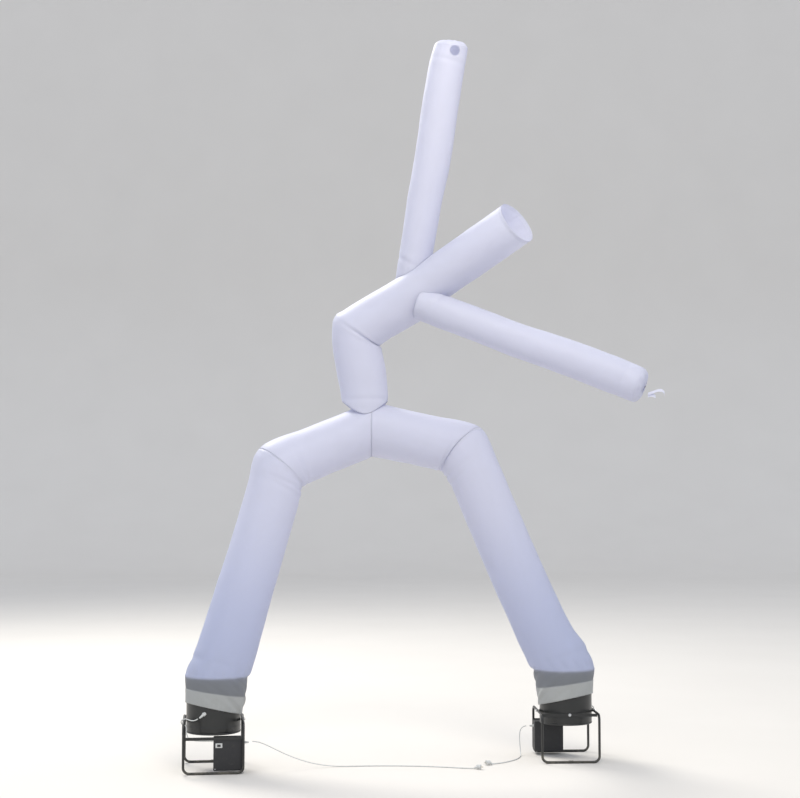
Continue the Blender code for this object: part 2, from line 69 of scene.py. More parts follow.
LEG_LEFT = (
    LEFT_HIP,
    Section(-0.985, 0.075, 2.305, -31, 12, 0.227, 0.224),
    Section(-1.01, 0.06, 2.17, -19, 9, 0.218, 0.220),
    Section(-1.07, 0.03, 1.94, -17, 9, 0.218, 0.220),
    Section(-1.23, -0.08, 1.37, -17, 9, 0.225, 0.226),
    Section(-1.39, -0.18, 0.81, -15, 5, 0.236, 0.234),
    Section(-1.432, -0.20, 0.70, -3, 2, 0.240, 0.236),
    Section(-1.438, -0.20, 0.60, -8, 4, 0.234, 0.229),
    Section(-1.4525, -0.20, 0.464, -12, 7, 0.2228, 0.2228),
)
LEG_RIGHT = (
    RIGHT_HIP,
    Section(0.535, 0.34, 2.455, -139, -12, 0.237, 0.224),
    Section(0.62, 0.34, 2.28, -149, -4, 0.219, 0.220),
    Section(0.76, 0.33, 1.94, -155, -2, 0.218, 0.220),
    Section(1.04, 0.30, 1.29, -155, -2, 0.217, 0.222),
    Section(1.20, 0.29, 0.95, -155, -2, 0.226, 0.230),
    Section(1.285, 0.285, 0.81, -163, -2, 0.244, 0.236),
    Section(1.332, 0.28, 0.70, -177, -2, 0.244, 0.236),
    Section(1.336, 0.28, 0.60, -172, -4, 0.234, 0.229),
    Section(1.3425, 0.28, 0.471, -168, -7, 0.2228, 0.2228),
)
THIGH_LEFT = (
    LEFT_HIP,
    Section(-0.935, 0.088, 2.362, -46, 13, 0.230, 0.224),
    Section(-0.73, 0.15, 2.45, -68, 9, 0.211, 0.212),
    Section(-0.42, 0.22, 2.58, -70, 9, 0.211, 0.212),
    CROTCH,
)
THIGH_RIGHT = (
    CROTCH,
    Section(-0.05, 0.27, 2.62, -103, 5, 0.216, 0.214),
    Section(0.28, 0.30, 2.55, -103, 5, 0.216, 0.214),
    Section(0.485, 0.335, 2.505, -126, -12, 0.236, 0.224),
    RIGHT_HIP,
)
BODY = (
    Section(-0.28, 0.25, 2.69, 11, -3, 0.190, 0.190),
    Section(-0.29, 0.25, 2.93, 9, -3, 0.191, 0.192),
    Section(-0.32, 0.24, 3.15, 7, -3, 0.200, 0.198),
    Section(-0.35, 0.23, 3.31, 0, -3, 0.200, 0.198),
    Section(-0.362, 0.225, 3.42, -24, -4, 0.212, 0.200),
    Section(-0.352, 0.22, 3.457, -33, -6, 0.223, 0.202),
    Section(-0.31, 0.21, 3.488, -43, -9, 0.208, 0.200),
    Section(-0.14, 0.18, 3.59, -58, -15, 0.199, 0.198),
    Section(0.09, 0.12, 3.72, -58, -18, 0.199, 0.198),
    Section(0.29, 0.04, 3.86, -55, -22, 0.178, 0.180),
    Section(0.60, -0.12, 4.06, -55, -27, 0.181, 0.182),
    Section(0.92, -0.32, 4.26, -54, -31, 0.180, 0.180),
)
ARM_LEFT = (
    Section(0.08, 0.16, 3.74, -6, -8, 0.136, 0.136),
    Section(0.13, 0.114, 4.074, -7, -8, 0.136, 0.137),
    Section(0.204, 0.051, 4.527, -7, -8, 0.143, 0.143),
    Section(0.258, 0.013, 4.803, -8, -8, 0.147, 0.147),
    Section(0.324, -0.047, 5.248, -8, -8, 0.147, 0.147),
    Section(0.38, -0.092, 5.587, -7, -8, 0.145, 0.145),
    Section(0.41, -0.11, 5.72, -5, -8, 0.138, 0.138),
)
ARM_RIGHT = (
    Section(0.16, 0.01, 3.665, -112, -15, 0.131, 0.131),
    Section(0.38, -0.06, 3.57, -111, -15, 0.133, 0.134),
    Section(0.58, -0.11, 3.49, -112, -15, 0.133, 0.134),
    Section(0.94, -0.19, 3.34, -112, -15, 0.136, 0.136),
    Section(1.29, -0.27, 3.21, -111, -15, 0.142, 0.142),
    Section(1.61, -0.34, 3.08, -110, -15, 0.144, 0.144),
    Section(1.85, -0.40, 2.975, -111, -15, 0.138, 0.138),
)
END_DEPTH = 0.052

Outlet = namedtuple("Outlet", "at opens radius")
LEFT_OUTLET = Outlet((0.44, -0.26, 5.655), (0.10, -0.97, -0.22), 0.042)
RIGHT_OUTLET = Outlet((1.895, -0.455, 2.945), (0.60, -0.76, -0.25), 0.036)

Ribbon = namedtuple("Ribbon", "name width points")
RIBBONS = (
    Ribbon("streamer_long", 0.024, (
        (1.912, -0.470, 2.900), (1.945, -0.472, 2.912), (1.985, -0.474, 2.926), (2.018, -0.476, 2.927),
        (2.036, -0.478, 2.912), (2.039, -0.480, 2.888))),
    Ribbon("streamer_short", 0.030, (
        (1.912, -0.466, 2.888), (1.935, -0.466, 2.893), (1.955, -0.466, 2.890), (1.972, -0.466, 2.880))),
)

Blower = namedtuple("Blower", "side x y turn")
BLOWERS = (
    Blower("left", -1.4525, -0.20, 6.9),
    Blower("right", 1.3425, 0.28, 182.7),
)

DRUM_RADIUS = 0.2125
DRUM_WALL = 0.2105
DRUM_BOTTOM = 0.285
DRUM_TOP = 0.715
DRUM_RECESS = 0.03
FRAME_TUBE = 0.0100
FRAME_FLAT = 0.0097
FRAME_HALF_WIDTH = 0.2275
FRAME_HALF_DEPTH = 0.265
FRAME_TOP = 0.378
FRAME_BEND = 0.045
STRAP_THICK = 0.004
STRAP_HIGH = 0.024
LOWER_STRAP_TOP = 0.280
UPPER_STRAP_TOP = 0.384
BOX_SIZE = (0.236, 0.120, 0.248)
BOX_BOTTOM = 0.024
BOX_FRONT = -0.2507
RELIEF_PLACE = (0.06, 0.228)
RELIEF_LENGTH = 0.034
GLAND_ANGLE = math.radians(-109.0)
GLAND_HEIGHT = 0.448
GLAND_LENGTH = 0.045

GROUND_GAP = 0.0003
POLE = 0.0003  # the least radius in a turned profile, next to its axis
NO_SEAM = 9.0  # a distance further from a seam than any cloth reaches
RIBBON_THICK = 0.0008

LEAD_RADIUS = 0.004
PLUG_RADIUS = 0.019
PLUG_LENGTH = 0.055
LEAD_LEFT = (
    (-1.135, -0.345, 0.232), (-1.095, -0.335, 0.226), (-1.04, -0.315, 0.204), (-0.96, -0.285, 0.160),
    (-0.87, -0.25, 0.112), (-0.76, -0.21, 0.064), (-0.65, -0.175, 0.030), (-0.53, -0.145, 0.0095),
    (-0.42, -0.13, 0.0043), (-0.25, -0.112, 0.0043), (-0.05, -0.108, 0.0043), (0.15, -0.125, 0.0043),
    (0.33, -0.16, 0.0043), (0.47, -0.20, 0.0043), (0.545, -0.222, 0.0058), (0.575, -0.231, 0.0075),
)
LEAD_RIGHT = (
    (1.035, 0.458, 0.228), (1.005, 0.453, 0.218), (0.985, 0.446, 0.185), (0.980, 0.438, 0.135),
    (0.982, 0.426, 0.080), (0.984, 0.402, 0.036), (0.983, 0.362, 0.012), (0.976, 0.312, 0.0043),
    (0.955, 0.235, 0.0043), (0.915, 0.150, 0.0043), (0.855, 0.070, 0.0043), (0.792, 0.010, 0.0043),
    (0.748, -0.022, 0.0058), (0.724, -0.038, 0.0075),
)
MOTOR_CABLE = (
    (-0.120, -0.2360, 0.417), (-0.140, -0.2270, 0.406), (-0.165, -0.2080, 0.401),
    (-0.190, -0.1780, 0.403), (-0.210, -0.1480, 0.405), (-0.2275, -0.1280, 0.4015),
    (-0.2445, -0.1120, 0.390), (-0.2480, -0.1020, 0.372), (-0.2400, -0.0960, 0.358),
    (-0.2275, -0.0950, 0.354), (-0.2120, -0.1000, 0.345), (-0.2060, -0.1140, 0.320),
    (-0.2050, -0.1350, 0.296), (-0.1960, -0.1650, 0.272), (-0.1750, -0.1950, 0.257),
    (-0.1400, -0.2150, 0.250), (-0.0950, -0.2220, 0.248), (-0.0500, -0.2180, 0.246),
    (-0.0020, -0.2120, 0.245),
)


def shift_to_frame():
    """How far the model stands from the places above: the left drum's middle less its own place."""
    low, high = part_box("drum_left")
    middle = (low + high) / 2
    return np.array([middle.x - BLOWERS[0].x, middle.y - BLOWERS[0].y, 0.0])


SHIFT = shift_to_frame()


# ---------------------------------------------------------------- settings that a user would change

class ClothSettings(bpy.types.PropertyGroup):
    colour: bpy.props.FloatVectorProperty(
        name="Nylon colour", description="Colour of the cloth in plain light", subtype="COLOR",
        size=3, min=0.0, max=1.0, default=(0.80, 0.805, 0.90))
    sheerness: bpy.props.FloatProperty(
        name="Sheerness", description="Share of the light that passes through the cloth",
        subtype="FACTOR", min=0.0, max=0.8, default=0.45)
    thickness: bpy.props.FloatProperty(
        name="Thickness", description="Thickness of the cloth", subtype="DISTANCE", unit="LENGTH",
        min=0.0002, max=0.002, default=0.0008)
    ripstop: bpy.props.FloatProperty(
        name="Ripstop squares", description="Spacing of the thicker threads in the weave",
        subtype="DISTANCE", unit="LENGTH", min=0.003, max=0.02, default=0.007)
    billow: bpy.props.FloatProperty(
        name="Billow", description="Height of the soft unevenness of the blown-up tubes",
        subtype="DISTANCE", unit="LENGTH", min=0.0, max=0.02, default=0.0022)
    pucker: bpy.props.FloatProperty(
        name="Pucker", description="Height of the gathers beside the seams",
        subtype="DISTANCE", unit="LENGTH", min=0.0, max=0.01, default=0.0022)
    hem: bpy.props.FloatProperty(
        name="Hem width", description="Width of the turned hem at an open end",
        subtype="DISTANCE", unit="LENGTH", min=0.01, max=0.2, default=0.028)
    cuff_hem: bpy.props.FloatProperty(
        name="Cuff hem width", description="Width of the doubled band at the foot of a leg",
        subtype="DISTANCE", unit="LENGTH", min=0.02, max=0.2, default=0.125)


class BlowerSettings(bpy.types.PropertyGroup):
    paint: bpy.props.FloatVectorProperty(
        name="Paint", description="Colour of the powder coat", subtype="COLOR", size=3,
        min=0.0, max=1.0, default=(0.012, 0.0125, 0.012))
    cable: bpy.props.FloatVectorProperty(
        name="Cable", description="Colour of the cable sheaths", subtype="COLOR", size=3,
        min=0.0, max=1.0, default=(0.62, 0.63, 0.62))
    guard_rings: bpy.props.IntProperty(
        name="Guard rings", description="Number of wire rings in each drum's guard", min=3, max=16,
        default=9)
    guard_spokes: bpy.props.IntProperty(
        name="Guard spokes", description="Number of straight wires in each drum's guard", min=3, max=12,
        default=6)


class StageSettings(bpy.types.PropertyGroup):
    lens: bpy.props.FloatProperty(
        name="Lens", description="Focal length of the camera, in millimetres", min=20.0, max=200.0,
        default=68.58)
    distance: bpy.props.FloatProperty(
        name="Distance", description="Distance of the camera from the middle of the dancer",
        subtype="DISTANCE", unit="LENGTH", min=5.0, max=40.0, default=12.2)
    eye_height: bpy.props.FloatProperty(
        name="Eye height", description="Height of the camera over the ground", subtype="DISTANCE",
        unit="LENGTH", min=0.2, max=6.0, default=2.165)
    pitch: bpy.props.FloatProperty(
        name="Pitch", description="How far the camera looks up", subtype="ANGLE", unit="ROTATION",
        default=math.radians(3.4))
    surround: bpy.props.FloatProperty(
        name="Surround", description="Strength of the even light from all round", min=0.0, max=4.0,
        default=0.92)
    key: bpy.props.FloatProperty(
        name="Key light", description="Power of the high light behind the dancer, in watts",
        min=0.0, max=20000.0, default=1500.0)
    fill: bpy.props.FloatProperty(
        name="Fill light", description="Power of the soft light high in front of the dancer, in watts",
        min=0.0, max=20000.0, default=240.0)


# ---------------------------------------------------------------- shader maths

class Signal:
    """A socket of a material's nodes. Arithmetic on signals adds the Math nodes that work it out."""

    def __init__(self, tree, socket=None):
        self.tree = tree
        self.socket = socket

    def node(self, kind, settings=None, sockets=None, output=0):
        """Adds a node, sets its own settings, then the values or links of its sockets."""
        made = self.tree.nodes.new(kind)
        for name, value in (settings or {}).items():
            if name == "stops":
                ramp = made.color_ramp
                while len(ramp.elements) < len(value):
                    ramp.elements.new(1.0)
                for element, (place, colour) in zip(ramp.elements, value):
                    element.position = place
                    element.color = (*colour, 1.0)
            else:
                setattr(made, name, value)
        for name, value in (sockets or {}).items():
            if isinstance(value, Signal):
                self.tree.links.new(value.socket, made.inputs[name])
            else:
                made.inputs[name].default_value = value
        return Signal(self.tree, made.outputs[output] if made.outputs else None)

    def maths(self, operation, *others):
        return self.node("ShaderNodeMath", {"operation": operation}, dict(enumerate((self, *others))))

    def __add__(self, other):
        return self.maths("ADD", other)

    def __mul__(self, other):
        return self.maths("MULTIPLY", other)

    def __sub__(self, other):
        return self.maths("SUBTRACT", other)

    def __abs__(self):
        return self.maths("ABSOLUTE")

    def between(self, low, high):
        """0 below low, 1 above high, with a smooth rise between them; falling where low is above high."""
        return self.node("ShaderNodeMapRange", {"interpolation_type": "SMOOTHSTEP"},
                         {"Value": self, "From Min": low, "From Max": high, "To Min": 0.0, "To Max": 1.0})

    def most(self, other):
        return self.maths("MAXIMUM", other)

    def wave(self, spacing):
        """cos of the signal, with a crest at every multiple of the spacing."""
        return (self * (2.0 * math.pi / spacing)).maths("COSINE")

    def part(self, axis):
        """One coordinate of a vector signal."""
        return self.node("ShaderNodeSeparateXYZ", {}, {"Vector": self}, axis)

    def noise(self, scale, detail=3.0, roughness=0.5):
        """Noise at a number of features to the metre, from 0 to 1."""
        return self.node("ShaderNodeTexNoise", {},
                         {"Vector": self, "Scale": scale, "Detail": detail, "Roughness": roughness}, "Fac")

    def mixed(self, low, high):
        """The colour low where the signal is 0 and high where it is 1."""
        made = self.tree.nodes.new("ShaderNodeMix")
        made.data_type = "RGBA"
        made.clamp_factor = True
        self.tree.links.new(self.socket, made.inputs[0])
        for index, value in ((6, low), (7, high)):
            if isinstance(value, Signal):
                self.tree.links.new(value.socket, made.inputs[index])
            else:
                made.inputs[index].default_value = (*value, 1.0)
        return Signal(self.tree, made.outputs[2])


def new_material(name):
    """An empty material, and a signal from which its nodes are added."""
    material = bpy.data.materials.new(name)
    material.use_nodes = True
    material.node_tree.nodes.clear()
    return material, Signal(material.node_tree)


def end_material(start, sockets, height=None, bump_distance=0.001, bump_strength=0.6, sheerness=0.0):
    """Closes a material with a Principled shader, under a bump, mixed with light passing through it."""
    if height is not None:
        sockets["Normal"] = start.node(
            "ShaderNodeBump", {}, {"Strength": bump_strength, "Distance": bump_distance, "Height": height})
    surface = start.node("ShaderNodeBsdfPrincipled", {}, sockets)
    if sheerness:
        glow = start.node("ShaderNodeBsdfTranslucent", {}, {"Color": (0.86, 0.87, 0.95, 1.0)})
        surface = start.node("ShaderNodeMixShader", {}, {0: sheerness, 1: surface, 2: glow})
    start.node("ShaderNodeOutputMaterial", {}, {"Surface": surface})


def darker(colour, share):
    return tuple(channel * share for channel in colour)


def nylon_material(name):
    """Ripstop nylon: a lattice of thicker threads, faint creasing with a painted shade in its hollows, stitch
    rows beside the seams, a painted shade in each seam's dip, a soiled foot, a painted blue shade that deepens
    towards the bottom, and a painted shade where a single layer lies on the black drum."""
    cloth = bpy.context.scene.dancer_cloth
    material, start = new_material(name)
    uv = start.node("ShaderNodeUVMap", {"uv_map": "Cloth"})
    place = start.node("ShaderNodeTexCoord", {}, {}, "Object")
    seam = start.node("ShaderNodeAttribute", {"attribute_name": "seam"}, {}, "Fac")
    hem = start.node("ShaderNodeAttribute", {"attribute_name": "hem"}, {}, "Fac")
    backed = start.node("ShaderNodeAttribute", {"attribute_name": "backed"}, {}, "Fac")
    across, along = uv.part(0), uv.part(1)

    lattice = across.wave(cloth.ripstop).most(along.wave(cloth.ripstop)).between(0.90, 1.0)
    creases_and_shade = place.noise(9.0, 5.0, 0.62)
    fine = place.noise(70.0, 3.0, 0.6)
    rows = (abs(seam - 0.006)).between(0.0016, 0.0006).most(abs(seam - 0.014).between(0.0016, 0.0006))
    stitches = rows * across.wave(0.0045).between(-0.2, 0.5)
    seam_dip_and_shade = seam.between(0.0035, 0.0)

    soil = place.part(2).between(1.05, 0.45) * place.noise(14.0, 6.0, 0.7).between(0.50, 0.74)
    # painted shade: where the crease noise is low, which the bump sinks, the cloth is painted up to 5 % darker
    tone = creases_and_shade.mixed(darker(cloth.colour, 0.95), cloth.colour)
    # painted shade: from 2.3 m down to 0.7 m the cloth is painted a greyer blue, standing in for the cool
    # shade on the lower tubes
    tone = (place.part(2).between(2.3, 0.7) * 0.9).mixed(tone, (0.54, 0.59, 0.78))
    tone = (lattice * 0.35).mixed(tone, darker(cloth.colour, 1.06))
    tone = (hem * 0.30).mixed(tone, (0.56, 0.57, 0.66))
    # painted shade: below the drum's rim the cloth is painted grey, darker on the single layer and lighter on
    # the doubled band, as if the black drum inside held back the light through it
    tone = (backed * 0.98).mixed(tone, hem.mixed((0.26, 0.275, 0.29), (0.56, 0.575, 0.55)))
    tone = (soil * 0.22).mixed(tone, (0.36, 0.35, 0.28))
    tone = (stitches * 0.45).mixed(tone, (0.55, 0.56, 0.64))
    # painted shade: a darker line in the dip along each seam
    tone = (seam_dip_and_shade * 0.22).mixed(tone, (0.55, 0.56, 0.66))
    height = lattice * 0.10 + fine * 0.22 + creases_and_shade * 1.4 - stitches * 0.5 - seam_dip_and_shade * 0.8
    end_material(
        start,
        {"Base Color": tone, "Roughness": fine * 0.10 + 0.44, "Sheen Weight": 0.12,
         "Specular IOR Level": 0.42},
        height, 0.0022, 0.35, cloth.sheerness)
    return material


def paint_material(name, colour):
    """Powder coat: a fine orange-peel skin, scuffs that show a greyer coat, and dust near the ground."""
    material, start = new_material(name)
    place = start.node("ShaderNodeTexCoord", {}, {}, "Object")
    peel = place.noise(420.0, 2.0)
    patches = place.noise(6.0, 5.0, 0.6)
    scuffs = place.noise(48.0, 8.0, 0.72).between(0.64, 0.74)
    dust = place.part(2).between(0.16, 0.0) * place.noise(30.0, 6.0, 0.65).between(0.36, 0.66)
    tone = patches.mixed(darker(colour, 0.8), darker(colour, 1.5))
    tone = (scuffs * 0.35).mixed(tone, (0.075, 0.075, 0.078))
    tone = (dust * 0.55).mixed(tone, (0.17, 0.155, 0.12))
    roughness = patches * 0.12 + scuffs * 0.15 + dust * 0.30 + 0.30
    end_material(start, {"Base Color": tone, "Roughness": roughness, "Coat Weight": 0.12},
                 peel * 0.5 + scuffs * 0.4, 0.0004, 0.5)
    return material


def moulding_material(name, colour, roughness=0.5, grain=900.0, soil=0.35):
    """Moulded plastic or rubber: a spark-eroded grain, uneven gloss and some soil."""
    material, start = new_material(name)
    place = start.node("ShaderNodeTexCoord", {}, {}, "Object")
    skin = place.noise(grain, 2.0)
    patches = place.noise(11.0, 5.0, 0.6)
    stains = place.noise(36.0, 6.0, 0.7).between(0.52, 0.72)
    tone = patches.mixed(darker(colour, 0.88), darker(colour, 1.08))
    tone = (stains * soil).mixed(tone, (0.20, 0.19, 0.155))
    uneven = patches * 0.14 + stains * 0.12 + (roughness - 0.08)
    end_material(start, {"Base Color": tone, "Roughness": uneven}, skin, 0.0002, 0.4)
    return material


def metal_material(name, colour, roughness=0.28):
    """Plated metal: brushed by fine noise, with duller smudges."""
    material, start = new_material(name)
    place = start.node("ShaderNodeTexCoord", {}, {}, "Object")
    smudges = place.noise(60.0, 5.0, 0.65)
    tone = smudges.mixed(darker(colour, 0.72), colour)
    uneven = smudges * 0.25 + (roughness - 0.08)
    end_material(start, {"Base Color": tone, "Metallic": 1.0, "Roughness": uneven},
                 place.noise(700.0, 2.0), 0.0002, 0.3)
    return material


_finishes = {}


def finish_of(kind):
    """Each finish is made once and shared by the pieces that have it."""
    if kind not in _finishes:
        look = bpy.context.scene.dancer_blowers
        makers = {
            "nylon": lambda: nylon_material("white_nylon"),
            "paint": lambda: paint_material("black_powder_coat", look.paint),
            "box": lambda: moulding_material("black_moulding", (0.020, 0.020, 0.022), 0.55, soil=0.12),
            "cable": lambda: moulding_material("light_grey_sheath", look.cable, 0.48, 1400.0),
            "plate": lambda: moulding_material("light_grey_plate", (0.60, 0.61, 0.60), 0.34, soil=0.15),
            "rocker": lambda: moulding_material("black_rocker", (0.03, 0.03, 0.032), 0.30, soil=0.05),
            "steel": lambda: metal_material("zinc_plate", (0.74, 0.75, 0.76)),
            "wire": lambda: metal_material("guard_wire", (0.34, 0.34, 0.35), 0.36),
            "brass": lambda: metal_material("nickel_pin", (0.72, 0.68, 0.58), 0.22),
        }
        _finishes[kind] = makers[kind]()
    return _finishes[kind]


# ---------------------------------------------------------------- surfaces

def grid_faces(rows, columns, wrap):
    """The four corners of each cell of a grid, closed round its columns where wrap is true."""
    row, column = np.meshgrid(np.arange(rows - 1), np.arange(columns if wrap else columns - 1), indexing="ij")
    beside = (column + 1) % columns
    corners = [row * columns + column, row * columns + beside, (row + 1) * columns + beside,
               (row + 1) * columns + column]
    return np.stack([c.ravel() for c in corners], axis=1)


def mesh_piece(name, points, faces, finish, slot, replaces=(), uv=None, layers=None, sharp=None,
               uv_faces=None):
    """A piece from arrays of points and faces: doubles merged, faces turned out, smooth, on the root body."""
    mesh = bpy.data.meshes.new(name)
    mesh.from_pydata(points, [], faces.tolist() if hasattr(faces, "tolist") else faces)
    if uv is not None:
        layer = mesh.uv_layers.new(name="Cloth")
        corners = np.empty(len(mesh.loops), np.int64)
        mesh.loops.foreach_get("vertex_index", corners)
        own_uv = uv[corners] if uv_faces is None else uv_faces
        layer.data.foreach_set("uv", own_uv.astype(np.float32).ravel())
    for layer_name, values in (layers or {}).items():
        attribute = mesh.attributes.new(layer_name, "FLOAT", "POINT")
        attribute.data.foreach_set("value", values.astype(np.float32).ravel())
    bm = bmesh.new()
    bm.from_mesh(mesh)
    bmesh.ops.remove_doubles(bm, verts=bm.verts, dist=1e-5)
    bmesh.ops.recalc_face_normals(bm, faces=bm.faces)
    bm.to_mesh(mesh)
    bm.free()
    mesh.shade_smooth()
    if sharp:
        mesh.set_sharp_from_angle(angle=math.radians(sharp))
    mesh.materials.append(finish_of(finish))
    piece = bpy.data.objects.new(name, mesh)
    bpy.context.scene.collection.objects.link(piece)
    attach(piece, "root")
    if replaces:
        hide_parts(*replaces)
    return piece


def joined(parts):
    """Several (points, faces) grids as one: the faces of each are moved on by the points before it."""
    points, faces, count = [], [], 0
    for own_points, own_faces in parts:
        own_points = np.asarray(own_points, float).reshape(-1, 3)
        points.append(own_points)
        faces += (np.asarray(own_faces) + count).tolist() if not isinstance(own_faces, list) else [
            [corner + count for corner in face] for face in own_faces]
        count += len(own_points)
    return np.concatenate(points), faces


def hermite(stations, values, at):
    """Monotone cubic through values at stations: between two of them the Hermite blend of their values
    and slopes, where a slope is the harmonic mean of the chords beside it, and nought at a turn."""
    chord = np.diff(values, axis=0) / np.diff(stations)[:, None]
    slope = np.zeros_like(values)
    product = chord[:-1] * chord[1:]
    total = np.where(product > 0, chord[:-1] + chord[1:], 1.0)
    slope[1:-1] = np.where(product > 0, 2.0 * product / total, 0.0)
    slope[0], slope[-1] = chord[0], chord[-1]
    index = np.clip(np.searchsorted(stations, at, side="right") - 1, 0, len(stations) - 2)
    step = (stations[index + 1] - stations[index])[..., None]
    share = (at - stations[index])[..., None] / step
    square, cube = share**2, share**3
    return ((2 * cube - 3 * square + 1) * values[index] + (cube - 2 * square + share) * step * slope[index]
            + (3 * square - 2 * cube) * values[index + 1] + (cube - square) * step * slope[index + 1])


class Tube:
    """A tube of cloth through its sections: at a run along its middle line and an angle round it the
    surface is centre + width cos(angle) across + depth sin(angle) towards the near side."""

    def __init__(self, sections):
        self.values = np.array(sections, float)
        self.values[:, :3] += SHIFT
        steps = np.linalg.norm(np.diff(self.values[:, :3], axis=0), axis=1)
        self.stations = np.concatenate([[0.0], np.cumsum(steps)])
        self.length = self.stations[-1]

    def axes(self, run):
        value = hermite(self.stations, self.values, run)
        tilt, lean = np.radians(value[..., 3:4]), np.radians(value[..., 4:5])
        nought = np.zeros_like(tilt)
        across = np.concatenate([np.cos(tilt), nought, np.sin(tilt)], axis=-1)
        along = np.concatenate([-np.sin(tilt), nought, np.cos(tilt)], axis=-1)
        near = along * np.sin(lean) - np.cos(lean) * np.array([0.0, 1.0, 0.0])
        return value[..., :3], across, near, value[..., 5:6], value[..., 6:7]

    def surface(self, run, angle, lift=0.0):
        """Points at (run, angle), each lifted off the cloth's own surface by lift along its radius."""
        centre, across, near, width, depth = self.axes(run)
        lift = np.asarray(lift)[..., None] if np.ndim(lift) else lift
        cosine, sine = np.cos(angle)[..., None], np.sin(angle)[..., None]
        return centre + across * cosine * (width + lift) + near * sine * (depth + lift)

    def outness(self, points):
        """How far out points lie from the tube's middle, as a share of the tube's own radius there."""
        runs = np.linspace(0.0, self.length, 120)
        centre, across, near, width, depth = self.axes(runs)
        flat = points.reshape(-1, 3)
        gap = np.linalg.norm(flat[:, None, :] - centre[None], axis=2)
        nearest = gap.argmin(axis=1)
        offset = flat - centre[nearest]
        share_across = (offset * across[nearest]).sum(axis=1) / width[nearest, 0]
        share_near = (offset * near[nearest]).sum(axis=1) / depth[nearest, 0]
        return np.hypot(share_across, share_near).reshape(points.shape[:-1])

    def leaves(self, others, angle, reach):
        """The run at which each lengthwise line of the tube has come out of all the other tubes."""
        runs = np.linspace(0.0, reach, 160)
        lines = self.surface(*np.broadcast_arrays(runs[:, None], angle[None, :]))
        inside = np.minimum.reduce([other.outness(lines) for other in others]) < 0.995
        last = inside.shape[0] - 1 - inside[::-1].argmax(axis=0)
        last = np.where(inside.any(axis=0), last, 0)
        run = runs[np.minimum(last + 1, len(runs) - 1)]
        smooth = sum(np.roll(run, shift) for shift in (-2, -1, 0, 1, 2)) / 5.0
        return smooth


def bell(offset, width):
    """A smooth bump: e to the minus square of the offset over the width."""
    return np.exp(-((offset / width) ** 2))


def facing(angle, towards, sharpness=1.0):
    """1 on the side of a tube at one angle, falling to 0 at the far side."""
    return ((1.0 + np.cos(angle - towards)) / 2.0) ** sharpness


def billow(run, angle, phase):
    """Soft unevenness: waves along and round the tube at lengths that don't repeat together."""
    return (0.45 * np.sin(4.3 * run + 2.0 * angle + phase)
            + 0.30 * np.sin(9.1 * run - 3.0 * angle + 1.7 * phase)
            + 0.22 * np.sin(17.0 * run + 5.0 * angle + 2.3 * phase)
            + 0.16 * np.sin(31.0 * run - 4.0 * angle + 0.6 * phase))


def gathers(distance, angle, count, phase):
    """Short pleats that run square to a seam and die out within a few centimetres of it."""
    pleats = np.cos(count * angle + phase) + 0.6 * np.cos(1.61 * count * angle + 2.1 * phase)
    return pleats * np.exp(-distance / 0.035) * (0.6 + 0.4 * np.sin(3.0 * angle + phase))


Look = namedtuple("Look", "phase seams hem creases cuff", defaults=((True, True), 0.0, (), None))
Crease = namedtuple("Crease", "run towards depth width slant")


def cloth_lift(run, angle, from_start, to_end, look):
    """How far each point of a tube stands off its smooth surface: billow, gathers beside the seams, the
    dip of each sewn edge, the lengthwise seam behind, and the tube's own creases."""
    cloth = bpy.context.scene.dancer_cloth
    lift = cloth.billow * billow(run, angle, look.phase)
    for sewn, distance in zip(look.seams, (from_start, to_end)):
        if sewn:
            lift = lift + cloth.pucker * 0.6 * gathers(distance, angle, 23, look.phase)
    for sewn, distance in zip(look.seams, (from_start, to_end)):
        if sewn:
            held = 1.0 - np.exp(-distance / 0.016)
            lift = lift * held - 0.0012 * (1.0 - held)
    if look.hem:
        edge = np.clip(to_end, 0.0, None)
        lift = lift + 0.0012 * (edge < look.hem) - 0.0022 * bell(edge - look.hem, 0.004)
        lift = lift + cloth.pucker * 0.35 * np.cos(31 * angle + look.phase) * np.exp(-edge / 0.05)
    for crease in look.creases:
        line = run - crease.run - crease.slant * np.sin(angle - crease.towards)
        side = facing(angle, crease.towards, 1.4)
        lift = lift - crease.depth * bell(line, crease.width) * side
        lift = lift + 0.35 * crease.depth * bell(np.abs(line) - 2.4 * crease.width, 1.3 * crease.width) * side
    behind = np.angle(np.exp(1j * (angle + math.pi / 2 + 0.35)))
    return lift - 0.0035 * bell(behind * 0.2, 0.005) + 0.0006 * np.cos(run * 160.0) * bell(behind * 0.2, 0.03)


